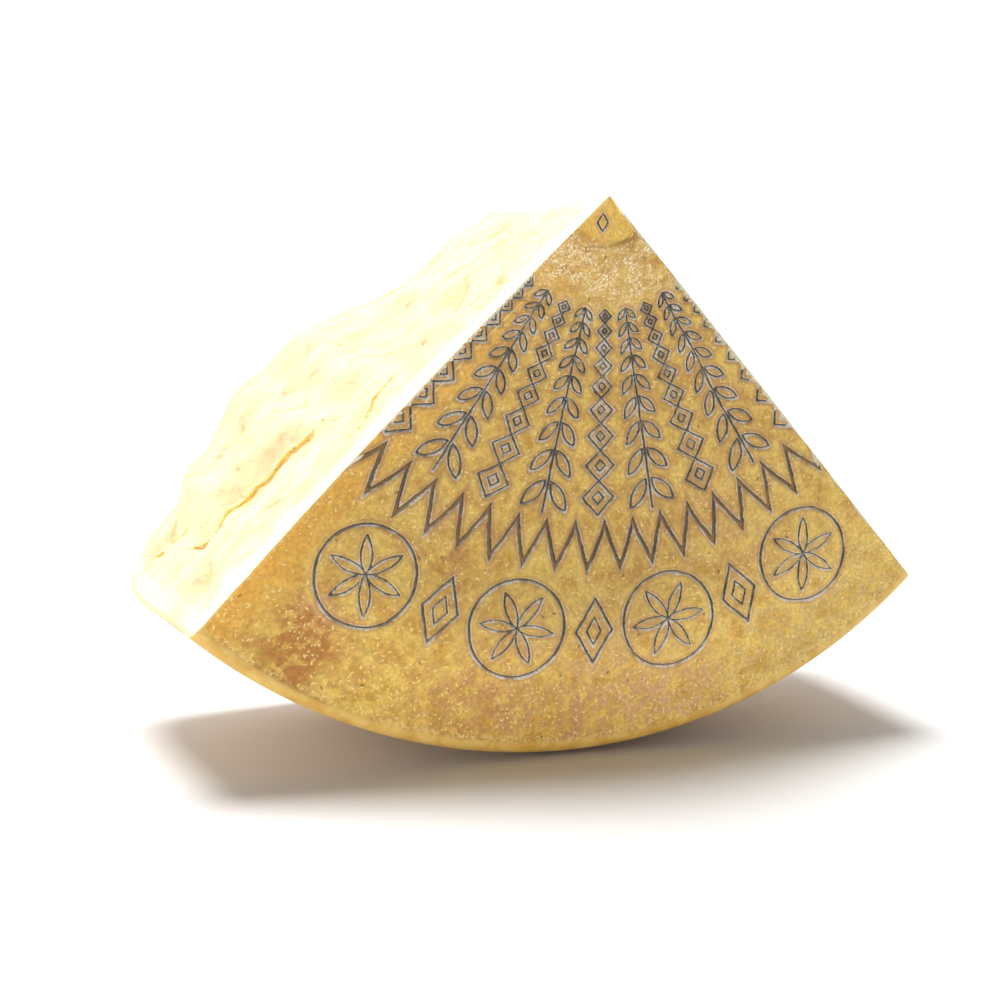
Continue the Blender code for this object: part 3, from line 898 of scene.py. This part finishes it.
def fleck_group():
    """Short bent dashes, one in a share of the cells of a flat cell noise, each turned its own way. A dash is an
    ellipse about the cell's place, bent by adding the square of its long way to its short way."""
    # These dashes make real crumbs and specks, and the rind's painted glints
    tree, given, result = new_group(
        "Flecks And Glints", {"Vector": None, "Cell": 0.002, "Length": 0.0006, "Width": 0.0002, "Share": 0.5}, ("Mask",))
    vector, cell_size, length, width, share = (given.outputs[n] for n in range(5))
    cell = put(tree, "ShaderNodeTexVoronoi", {"Vector": vector, "Scale": maths(tree, "DIVIDE", 1.0, cell_size)},
               voronoi_dimensions="2D").outputs
    turn, size, chance = put(tree, "ShaderNodeSeparateColor", {"Color": cell["Color"]}).outputs
    away = put(tree, "ShaderNodeVectorMath", {0: vector, 1: cell["Position"]}, operation="SUBTRACT").outputs[0]
    turned = put(tree, "ShaderNodeVectorRotate", {"Vector": away, "Angle": times(tree, turn, 2.0 * math.pi)},
                 rotation_type="Z_AXIS").outputs[0]
    split = put(tree, "ShaderNodeSeparateXYZ", {0: turned}).outputs
    size = ramp(tree, size, 0.0, 1.0, *FLECK_SIZES)
    x = maths(tree, "DIVIDE", split["X"], times(tree, length, size))
    y = maths(tree, "DIVIDE", split["Y"], times(tree, width, size))
    y = maths(tree, "ADD", y, times(tree, x, x, FLECK_BEND))
    far = maths(tree, "SQRT", maths(tree, "ADD", times(tree, x, x), times(tree, y, y)))
    mask = times(tree, ramp(tree, far, 1.25, 0.35), maths(tree, "LESS_THAN", chance, share))
    tree.links.new(mask, result.inputs["Mask"])
    return tree


def stamp_group():
    """Ink, grey ground, chalk and painted shade ring of a stamped groove. The ink is fuller on the upper wall, as
    painted shade, and the chalk fuller below, as a painted highlight. Edge is the distance to the groove's edge in
    millimetres, below 0 inside. Facing is 1 on the ground below a groove and -1 above it."""
    names = ("Ink And Shade", "Ground", "Chalk And Highlight", "Groove Shade", "Pale", "Depth")
    tree, given, result = new_group("Stamp Marks", {"Vector": None, "Edge": 4.0, "Facing": 0.0}, names)
    vector, edge, facing = (given.outputs[name] for name in ("Vector", "Edge", "Facing"))
    ragged = maths(tree, "SUBTRACT", speck_noise(tree, vector, 0.0010), 0.5)
    wavy = maths(tree, "ADD", edge, times(tree, ragged, 0.50))
    below = ramp(tree, facing, -0.5, 0.7)

    # Ink fills the groove, torn and worn off in places and thinner at its edges. Painted shade: it is fuller on the
    # upper wall, which faces down, than on the lower one
    ground = ramp(tree, wavy, 0.10, -0.10)
    torn = patches(tree, vector, 0.0008, 0.30, 0.44, 0.25)
    worn = patches(tree, vector, 0.0060, 0.32, 0.46, 0.40)
    upper_wall_shade = ramp(tree, below, 1.0, 0.2, 0.55, 1.0)
    centre = ramp(tree, wavy, -0.55, -0.30, 0.35, 1.0)
    ink_and_shade = times(tree, torn, worn, times(tree, upper_wall_shade, centre), ground)

    # Chalk lies along the groove's edge; the extra chalk below the groove, where the wall faces up, is a painted
    # highlight
    start = ramp(tree, below, 0.0, 1.0, -0.02, -0.26)
    rising = ramp(tree, wavy, maths(tree, "SUBTRACT", start, 0.18), start)
    reach = patches(tree, vector, 0.0045, 0.35, 0.65, 0.12, 0.55)
    falling = ramp(tree, wavy, reach, maths(tree, "SUBTRACT", reach, 0.22))
    where = patches(tree, vector, 0.0050, 0.36, 0.56, 0.25)
    broken = patches(tree, vector, 0.0008, 0.30, 0.52, 0.30)
    chalk_and_highlight = times(tree, rising, falling, times(tree, where, broken, ramp(tree, below, 0.0, 1.0, 0.45, 1.0)))

    # Painted shade: a darker ring where the ground rounds down into the groove
    groove_shade = within(tree, edge, 0.15, 0.5, 0.6, 1.3)
    pale = within(tree, edge, 0.9, 1.6, 1.7, 3.0)
    depth = ramp(tree, edge, 0.05, -0.32)
    for name, value in zip(names, (ink_and_shade, ground, chalk_and_highlight, groove_shade, pale, depth)):
        tree.links.new(value, result.inputs[name])
    return tree


def new_material(name):
    """A material with an empty tree but for its Principled shader."""
    made = bpy.data.materials.new(name)
    made.use_nodes = True
    tree = made.node_tree
    shader = tree.nodes["Principled BSDF"]
    shader.subsurface_method = "RANDOM_WALK"
    vector = put(tree, "ShaderNodeTexCoord").outputs["Object"]
    return made, tree, shader, vector


def finish_material(tree, shader, colour, roughness, height, distance):
    """Connect a Principled shader's colour, roughness and bump."""
    bump = put(tree, "ShaderNodeBump", {"Height": height, "Distance": distance, "Strength": 1.0})
    connect(tree, shader, {"Base Color": colour, "Roughness": roughness, "Normal": bump.outputs["Normal"]})


def grey(tree, value):
    """A grey colour of this value."""
    return put(tree, "ShaderNodeCombineColor", {0: value, 1: value, 2: value}).outputs[0]


def specks(tree, flecks_and_glints, vector, cell, length, width, share):
    """The mask of one kind of flecks."""
    return use(tree, flecks_and_glints, {"Vector": vector, "Cell": cell, "Length": length, "Width": width,
                              "Share": share})["Mask"]


def rind_skin(tree, vector, facts, mid, fine):
    """The clouded golden skin, with a bright left edge, a smooth point and amber painted shade beside the stamps'
    grooves.
    """
    mottle = patches(tree, vector, 0.0042, 0.36, 0.62, 0.15, 1.5, 3.0)
    colour = mix(tree, ramp(tree, mid, 0.34, 0.64), linear(190, 143, 52), linear(218, 183, 86))
    for name, share, shade in (("olive", 0.55, (203, 176, 106)), ("pink", 0.70, (206, 162, 112)),
                               ("brown", 0.64, (174, 116, 46))):
        colour = coats(tree, colour, (times(tree, facts[name], share, mottle, clamp=True), shade))
    left, reach = facts["left_side"], facts["reach"]
    golden = times(tree, ramp(tree, left, 18.0, 0.5, 0.0, 0.95), ramp(tree, reach, 0.0, 40.0, 0.4, 1.0))
    stamped = within(tree, reach, 36.0, 44.0, 112.0, 128.0)
    # Painted shade: amber darkening towards the grooves, where the ground between the stamps rounds down into them
    amber = times(tree, ramp(tree, facts["stamp_edge"], 2.4, 0.3), stamped, 0.55)
    colour = coats(tree, colour, (golden, (221, 164, 62)),
                   (ramp(tree, reach, 17.0, 12.0, 0.0, 0.6), (232, 186, 84)),
                   (ramp(tree, left, 1.6, 0.1, 0.0, 0.6), (240, 200, 112)), (amber, (168, 122, 50)))
    return mix(tree, 1.0, colour, grey(tree, ramp(tree, fine, 0.30, 0.70, 0.85, 1.14)), "MULTIPLY")


def rind_frost(tree, vector, flat, facts, flecks_and_glints, colour):
    """A crystal frost with rusty spots below the point, and the crease between them."""
    reach = facts["reach"]
    frost = within(tree, reach, 15.0, 18.0, 27.0, 44.0)
    under = times(tree, frost, patches(tree, vector, 0.005, 0.36, 0.6, 0.1, 0.75))
    rusty = times(tree, patches(tree, vector, 0.0034, 0.52, 0.66, 0.0, 0.75), frost)
    crust = times(tree, patches(tree, vector, 0.0012, 0.46, 0.60, 0.0, 0.85, 3.0), under, clamp=True)
    crumbs = specks(tree, flecks_and_glints, flat, 0.0009, 0.00040, 0.00030, 0.75)
    crease = times(tree, within(tree, reach, 14.0, 16.0, 16.4, 18.5),
                   ramp(tree, facts["right_side"], 14.0, 3.0, 0.25, 0.8))
    return coats(tree, colour, (under, (208, 164, 96)), (rusty, (184, 122, 44)), (crust, (236, 212, 156)),
                 (times(tree, crumbs, under, 1.4, clamp=True), (250, 236, 196)), (crease, (150, 102, 44)))


def rind_glint_flecks(settings, tree, vector, flat, moved, facts, flecks_and_glints):
    """The mask of the painted glints, pale flecks: long and short ones, fewer in some places and in the grooves."""
    share = maths(tree, "ADD", 0.38, times(tree, facts["brown"], 0.06))
    thin = times(tree, share, patches(tree, vector, 0.011, 0.36, 0.60, 0.30, 1.2, 1.0))
    long_ones = specks(tree, flecks_and_glints, flat, 0.0023, 0.00080, 0.00030, thin)
    short_ones = specks(tree, flecks_and_glints, moved, 0.0017, 0.00046, 0.00026, thin)
    glint_fleck = maths(tree, "MAXIMUM", long_ones, short_ones)
    return times(tree, glint_fleck, ramp(tree, facts["stamp_edge"], -0.1, 0.3, 0.15, 1.0), settings.flecks_and_glints)


def rind_material(settings, flecks_and_glints, marks):
    """The waxy rind face: a clouded golden skin with pale flecks that are painted glints and dark specks, a crystal
    frost near the point, a bright translucent left edge, a smooth heel behind a speckled line, and the stamps' ink
    and chalk with painted shade and highlight; painted light lifts the middle towards the rim."""
    made, tree, shader, vector = new_material("cheese_rind_face")
    facts = {name: fact(tree, name) for name in ("olive", "pink", "brown", "left_side", "right_side", "reach",
                                                 "to_rim", "border", "stamp_edge", "facing")}
    flat = face_vector(tree, vector)
    moved = put(tree, "ShaderNodeVectorMath", {0: flat, 1: (0.37, 0.81, 0.0)}, operation="ADD").outputs[0]
    mid = speck_noise(tree, vector, 0.0065, 3.0)
    fine = speck_noise(tree, vector, 0.0013)
    colour = rind_skin(tree, vector, facts, mid, fine)
    colour = rind_frost(tree, vector, flat, facts, flecks_and_glints, colour)
    glint_fleck = rind_glint_flecks(settings, tree, vector, flat, moved, facts, flecks_and_glints)

    rim, reach = facts["to_rim"], facts["reach"]
    speckled = times(tree, within(tree, rim, 0.1, 1.3, 1.4, 3.8),
                     patches(tree, vector, 0.0013, 0.42, 0.62, 0.0, 0.34))
    # The pale flecks are painted glints, highlights painted on the rind's tiny bumps
    colour = coats(tree, colour, (glint_fleck, (244, 220, 146)), (speckled, (238, 214, 146)))
    heel = mix(tree, ramp(tree, mid, 0.35, 0.65), linear(208, 164, 76), linear(224, 188, 106))
    colour = mix(tree, ramp(tree, rim, 1.5, 0.1), colour, heel)

    stamp = use(tree, marks, {"Vector": vector, "Edge": facts["stamp_edge"], "Facing": facts["facing"]})
    # Beside the grooves a pale band, then a darker ring of painted shade
    colour = coats(tree, colour, (times(tree, stamp["Pale"], 0.22), (222, 190, 118)),
                   (times(tree, stamp["Groove Shade"], 0.42), (176, 134, 92)))
    # The grooves' grey ground, their ink with painted shade on the upper walls, and their chalk with a painted
    # highlight below
    ground = mix(tree, facts["border"], linear(140, 118, 88), linear(146, 104, 50))
    for name, share, shade in (("Ground", 0.85, ground), ("Ink And Shade", 0.96, tuple(settings.ink_and_shade)),
                               ("Chalk And Highlight", 0.95, tuple(settings.chalk_and_highlight))):
        colour = mix(tree, times(tree, stamp[name], share), colour, shade)

    # A pale line that the knife scored beside the left edge, and dark specks all over
    beside = maths(tree, "ABSOLUTE", maths(tree, "SUBTRACT", facts["left_side"], 4.0))
    scored = times(tree, ramp(tree, beside, 0.28, 0.08), ramp(tree, reach, 112.0, 100.0),
                   patches(tree, vector, 0.004, 0.42, 0.56, 0.0, 0.6), ramp(tree, reach, 34.0, 44.0))
    dark = specks(tree, flecks_and_glints, moved, 0.011, 0.0008, 0.0004, 0.28)
    colour = coats(tree, colour, (scored, (246, 224, 160)), (times(tree, dark, 0.7), (98, 62, 26)))

    # Painted light: the skin is lightened towards the middle of the rim, where the face hangs over its own shadow
    sideways = maths(tree, "ABSOLUTE", put(tree, "ShaderNodeSeparateXYZ", {0: flat}).outputs["X"])
    painted_lift = times(tree, ramp(tree, rim, 60.0, 15.0), ramp(tree, sideways, 0.130, 0.020, 0.3, 1.0))
    colour = mix(tree, 1.0, colour, grey(tree, ramp(tree, painted_lift, 0.0, 1.0, 1.0, 1.45)), "MULTIPLY")
    colour = mix(tree, 1.0, colour, tuple(settings.tint), "MULTIPLY")

    height = maths(tree, "ADD", times(tree, fine, 0.35), times(tree, glint_fleck, 0.30))
    height = maths(tree, "SUBTRACT", height, times(tree, stamp["Depth"], 0.9))
    shader.inputs["Specular IOR Level"].default_value = 0.45
    finish_material(tree, shader, colour, ramp(tree, mid, 0.3, 0.7, 0.36, 0.52), height, 0.00045)
    return made


def rim_material():
    """The smooth amber rim."""
    made, tree, shader, vector = new_material("cheese_rind_rim")
    mid = speck_noise(tree, vector, 0.012, 3.0)
    fine = speck_noise(tree, vector, 0.0014, 3.0)
    colour = mix(tree, ramp(tree, mid, 0.3, 0.7), linear(196, 148, 70), linear(216, 176, 96))
    colour = coats(tree, colour, (times(tree, fact(tree, "brown"), 0.45), (176, 120, 52)))
    height = maths(tree, "ADD", fine, times(tree, mid, 0.6))
    finish_material(tree, shader, colour, ramp(tree, mid, 0.3, 0.7, 0.34, 0.5), height, 0.0003)
    return made


def paste_material(settings):
    """The pale, crumbly paste: white crystals, faint peach streaks, cracks in yellow painted shade, a translucent
    rind edge.
    """
    made, tree, shader, vector = new_material("cheese_paste")
    facts = {name: fact(tree, name) for name in ("rough", "peach", "pit", "dip_shade", "riser_shade", "rind_edge", "seam")}
    broad = speck_noise(tree, vector, 0.016, 3.0)
    fine = speck_noise(tree, vector, 0.0017, 3.0)
    tan = mix(tree, 1.0, tuple(settings.paste), linear(246, 238, 226), "MULTIPLY")
    colour = mix(tree, ramp(tree, broad, 0.32, 0.68), tan, tuple(settings.paste))
    crystal = put(tree, "ShaderNodeTexVoronoi", {"Vector": vector, "Scale": 1.0 / 0.0055}).outputs["Distance"]
    # The cracks' yellow, on their risers and in the dips before them, is painted shade
    colour = coats(
        tree, colour,
        (times(tree, patches(tree, vector, 0.005, 0.56, 0.74, 0.0, 0.20, 3.0), facts["rough"]), (240, 206, 142)),
        (ramp(tree, facts["rough"], 0.6, 0.0, 0.0, 0.6), (250, 240, 210)),
        (times(tree, facts["peach"], 0.55, clamp=True), (236, 190, 130)),
        (times(tree, facts["pit"], 0.5), (238, 198, 132)),
        (times(tree, facts["dip_shade"], 0.75), (236, 196, 96)),
        (facts["riser_shade"], (236, 192, 84)),
        (ramp(tree, crystal, 0.13, 0.07, 0.0, 0.7), (252, 248, 232)),
        (ramp(tree, facts["rind_edge"], 0.45, 0.0, 0.0, 0.7), (228, 192, 118)))
    height = maths(tree, "ADD", fine, times(tree, speck_noise(tree, vector, 0.0006, 2.0), 0.4))
    connect(tree, shader, {"Subsurface Weight": ramp(tree, facts["seam"], 0.5, 9.0, 0.0, settings.paste_glow),
                           "Subsurface Radius": GLOW_REACH, "Subsurface Scale": 1.0, "Specular IOR Level": 0.3})
    finish_material(tree, shader, colour, ramp(tree, broad, 0.3, 0.7, 0.55, 0.7), height, 0.0004)
    return made


def plain_material(name, colour, roughness):
    """A plain Principled material for the stage."""
    made = bpy.data.materials.new(name)
    made.use_nodes = True
    tree = made.node_tree
    connect(tree, tree.nodes["Principled BSDF"], {"Base Color": colour, "Roughness": roughness})
    return made


def add_object(name, data):
    """Link a new object at the origin."""
    made = bpy.data.objects.new(name, data)
    bpy.context.scene.collection.objects.link(made)
    return made


def part_box():
    """The part's box, which the pieces stay inside."""
    low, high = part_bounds(NODE)
    return np.array(low), np.array(high)


def add_piece(mesh, material):
    """Put a piece on the part's body in place of the part's own surface."""
    piece = add_object(mesh.name, mesh)
    mesh.materials.append(material)
    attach(piece, "root")
    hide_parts(NODE)
    return piece


def build_floor():
    """A plain floor under the piece."""
    mesh = bpy.data.meshes.new("floor")
    corners = ((-1, -1), (1, -1), (1, 1), (-1, 1))
    mesh.from_pydata([(FLOOR_HALF * x, FLOOR_HALF * y, 0.0) for x, y in corners], [], [(0, 1, 2, 3)])
    mesh.materials.append(plain_material("floor_white", (0.80, 0.80, 0.80, 1.0), 0.6))
    add_object("floor", mesh)


def build_surroundings(scene, settings):
    """White surroundings: bright behind, low in front and low on the left."""
    world = bpy.data.worlds.new("studio")
    world.use_nodes = True
    tree = world.node_tree
    facing = put(tree, "ShaderNodeSeparateXYZ", {0: put(tree, "ShaderNodeTexCoord").outputs["Generated"]}).outputs
    front = ramp(tree, facing["Z"], 0.02, 0.26, settings.fill, settings.front_sky)
    strength = ramp(tree, facing["Y"], -0.25, 0.60, front, settings.sky)
    left = times(tree, ramp(tree, facing["X"], -0.20, -0.90, 0.0, settings.left), ramp(tree, facing["Z"], 0.85, 0.20))
    connect(tree, tree.nodes["Background"], {"Color": (1.0, 1.0, 1.0, 1.0),
                                             "Strength": maths(tree, "ADD", strength, left)})
    scene.world = world


def build_lamp(settings):
    """The soft light overhead."""
    lamp = bpy.data.lights.new("overhead", "SUN")
    lamp.energy = settings.lamp
    lamp.angle = settings.lamp_spread
    add_object("overhead", lamp).rotation_euler = Vector(LAMP_TOWARDS).to_track_quat("-Z", "Y").to_euler()


def build_camera(scene, settings):
    """The camera, at the photograph's place and angle."""
    lens = bpy.data.cameras.new("camera")
    lens.lens = settings.focal_length
    lens.sensor_width = 36.0
    camera = add_object("camera", lens)
    back = -Vector(CAMERA_TOWARDS).normalized()
    right = Vector(CAMERA_UP).cross(back).normalized()
    turn = Matrix((right, back.cross(right), back)).transposed()
    camera.matrix_world = Matrix.Translation(CAMERA_AT) @ turn.to_4x4()
    scene.camera = camera


class CheeseRindSettings(bpy.types.PropertyGroup):
    """The stamped rind face."""
    point_rows: IntProperty(
        name="Rows at the Point", default=290, min=20, max=310, description="Rows between the point and the band")
    band_rows: IntProperty(
        name="Rows in the Band", default=146, min=20, max=160, description="Rows between the point part and the rim")
    groove_depth: FloatProperty(
        name="Groove Depth", default=0.0009, min=0.0, max=0.002, unit="LENGTH", precision=5,
        description="Depth of the stamped grooves")
    face_grain: FloatProperty(
        name="Face Grain", default=1.0, min=0.0, max=2.0, subtype="FACTOR", description="Strength of the grain")
    # The flecks are painted glints: highlights painted on the rind's tiny bumps
    flecks_and_glints: FloatProperty(
        name="Flecks And Glints", default=0.85, min=0.0, max=1.0, subtype="FACTOR", description="Strength of the pale flecks")
    tint: FloatVectorProperty(
        name="Rind Tint", default=(1.0, 1.0, 1.0, 1.0), size=4, min=0.0, max=1.0, subtype="COLOR",
        description="Colour that the whole rind is multiplied by")
    # The ink is drawn fuller on the grooves' upper walls, as painted shade
    ink_and_shade: FloatVectorProperty(
        name="Ink And Shade", default=(0.040, 0.040, 0.032, 1.0), size=4, min=0.0, max=1.0, subtype="COLOR",
        description="Colour of the stamps' ink")
    # The chalk is drawn fuller below the grooves, as a painted highlight
    chalk_and_highlight: FloatVectorProperty(
        name="Chalk And Highlight", default=(0.70, 0.66, 0.59, 1.0), size=4, min=0.0, max=1.0, subtype="COLOR",
        description="Colour of the chalk beside the stamps' grooves")
    rim_columns: IntProperty(name="Rim Columns", default=320, min=20, description="Columns along the rim")
    rim_rows: IntProperty(name="Rim Rows", default=110, min=8, description="Rows from the heel to the back")


class CheesePasteSettings(bpy.types.PropertyGroup):
    """The broken paste."""
    side_columns: IntProperty(
        name="Side Columns", default=400, min=20, description="Columns from the point to the rim on the left side")
    side_rows: IntProperty(
        name="Side Rows", default=230, min=10, description="Rows from the heel to the back on the left side")
    body_rows: IntProperty(
        name="Right Rows", default=120, min=10, description="Rows from the heel to the back on the right side")
    back_rows: IntProperty(
        name="Back Rows", default=220, min=20, description="Rows from the point to the rim on the back")
    paste_relief: FloatProperty(
        name="Broken Relief", default=1.0, min=0.0, max=2.0, subtype="FACTOR",
        description="Depth of the broken paste's relief")
    paste: FloatVectorProperty(
        name="Paste", default=(0.95, 0.85, 0.54, 1.0), size=4, min=0.0, max=1.0, subtype="COLOR",
        description="Colour of the broken paste")
    paste_glow: FloatProperty(
        name="Glow", default=0.4, min=0.0, max=1.0, subtype="FACTOR",
        description="How much light spreads inside the paste")


class CheeseStageSettings(bpy.types.PropertyGroup):
    """Floor, light and camera."""
    sky: FloatProperty(
        name="Sky", default=1.05, min=0.0, description="Strength of the white surroundings behind and above")
    fill: FloatProperty(
        name="Fill", default=2.3, min=0.0, description="Strength of the surroundings low on the viewer's side")
    front_sky: FloatProperty(
        name="Front Sky", default=0.06, min=0.0, description="Strength of the surroundings above the viewer")
    left: FloatProperty(
        name="Left", default=1.2, min=0.0, description="Extra strength of the surroundings low on the left")
    lamp: FloatProperty(name="Lamp", default=3.4, min=0.0, description="Strength of the soft light overhead")
    lamp_spread: FloatProperty(
        name="Lamp Spread", default=math.radians(26.0), min=0.0, subtype="ANGLE",
        description="How wide the overhead light is")
    focal_length: FloatProperty(
        name="Focal Length", default=44.5, min=10.0, unit="CAMERA", description="The camera's focal length")


class CHEESE_OT_rind_face(bpy.types.Operator):
    """Build the stamped rind face"""
    bl_idname = "cheese.rind_face"
    bl_label = "Build Rind Face"

    def execute(self, context):
        settings = context.scene.cheese_rind
        material = rind_material(settings, fleck_group(), stamp_group())
        low, high = part_box()
        add_piece(point_mesh(settings, low, high), material)
        add_piece(band_mesh(settings, low, high), material)
        return {"FINISHED"}


class CHEESE_OT_rind_rim(bpy.types.Operator):
    """Build the curved rim"""
    bl_idname = "cheese.rind_rim"
    bl_label = "Build Rim"

    def execute(self, context):
        low, high = part_box()
        add_piece(rim_mesh(context.scene.cheese_rind, low, high), rim_material())
        return {"FINISHED"}


class CHEESE_OT_paste(bpy.types.Operator):
    """Build the broken paste of the sides and the back"""
    bl_idname = "cheese.paste"
    bl_label = "Build Paste"

    def execute(self, context):
        settings = context.scene.cheese_paste
        material = paste_material(settings)
        low, high = part_box()
        add_piece(left_mesh(settings, low, high), material)
        add_piece(body_mesh(settings, low, high), material)
        return {"FINISHED"}


class CHEESE_OT_stage(bpy.types.Operator):
    """Build the floor, the light and the camera"""
    bl_idname = "cheese.stage"
    bl_label = "Build Stage"

    def execute(self, context):
        scene = context.scene
        build_floor()
        build_surroundings(scene, scene.cheese_stage)
        build_lamp(scene.cheese_stage)
        build_camera(scene, scene.cheese_stage)
        scene.view_settings.view_transform = "Standard"
        return {"FINISHED"}


class CHEESE_PT_panel(bpy.types.Panel):
    """Everything the piece is built from."""
    bl_idname = "CHEESE_PT_panel"
    bl_label = "Hard Cheese Piece"
    bl_space_type = "VIEW_3D"
    bl_region_type = "UI"
    bl_category = "Cheese"

    def draw(self, context):
        layout = self.layout
        layout.use_property_split = True
        for group, operators in ((context.scene.cheese_rind, ("cheese.rind_face", "cheese.rind_rim")),
                                 (context.scene.cheese_paste, ("cheese.paste",)),
                                 (context.scene.cheese_stage, ("cheese.stage",))):
            column = layout.column()
            for name in group.bl_rna.properties.keys():
                if name not in ("rna_type", "name"):
                    column.prop(group, name)
            for operator in operators:
                column.operator(operator)


CLASSES = (CheeseRindSettings, CheesePasteSettings, CheeseStageSettings, CHEESE_OT_rind_face, CHEESE_OT_rind_rim,
           CHEESE_OT_paste, CHEESE_OT_stage, CHEESE_PT_panel)


def register():
    for one in CLASSES:
        bpy.utils.register_class(one)
    bpy.types.Scene.cheese_rind = PointerProperty(type=CheeseRindSettings)
    bpy.types.Scene.cheese_paste = PointerProperty(type=CheesePasteSettings)
    bpy.types.Scene.cheese_stage = PointerProperty(type=CheeseStageSettings)


def unregister():
    del bpy.types.Scene.cheese_stage
    del bpy.types.Scene.cheese_paste
    del bpy.types.Scene.cheese_rind
    for one in reversed(CLASSES):
        bpy.utils.unregister_class(one)


def main():
    register()
    bpy.ops.cheese.rind_face()
    bpy.ops.cheese.rind_rim()
    bpy.ops.cheese.paste()
    bpy.ops.cheese.stage()


if __name__ == "__main__":
    main()
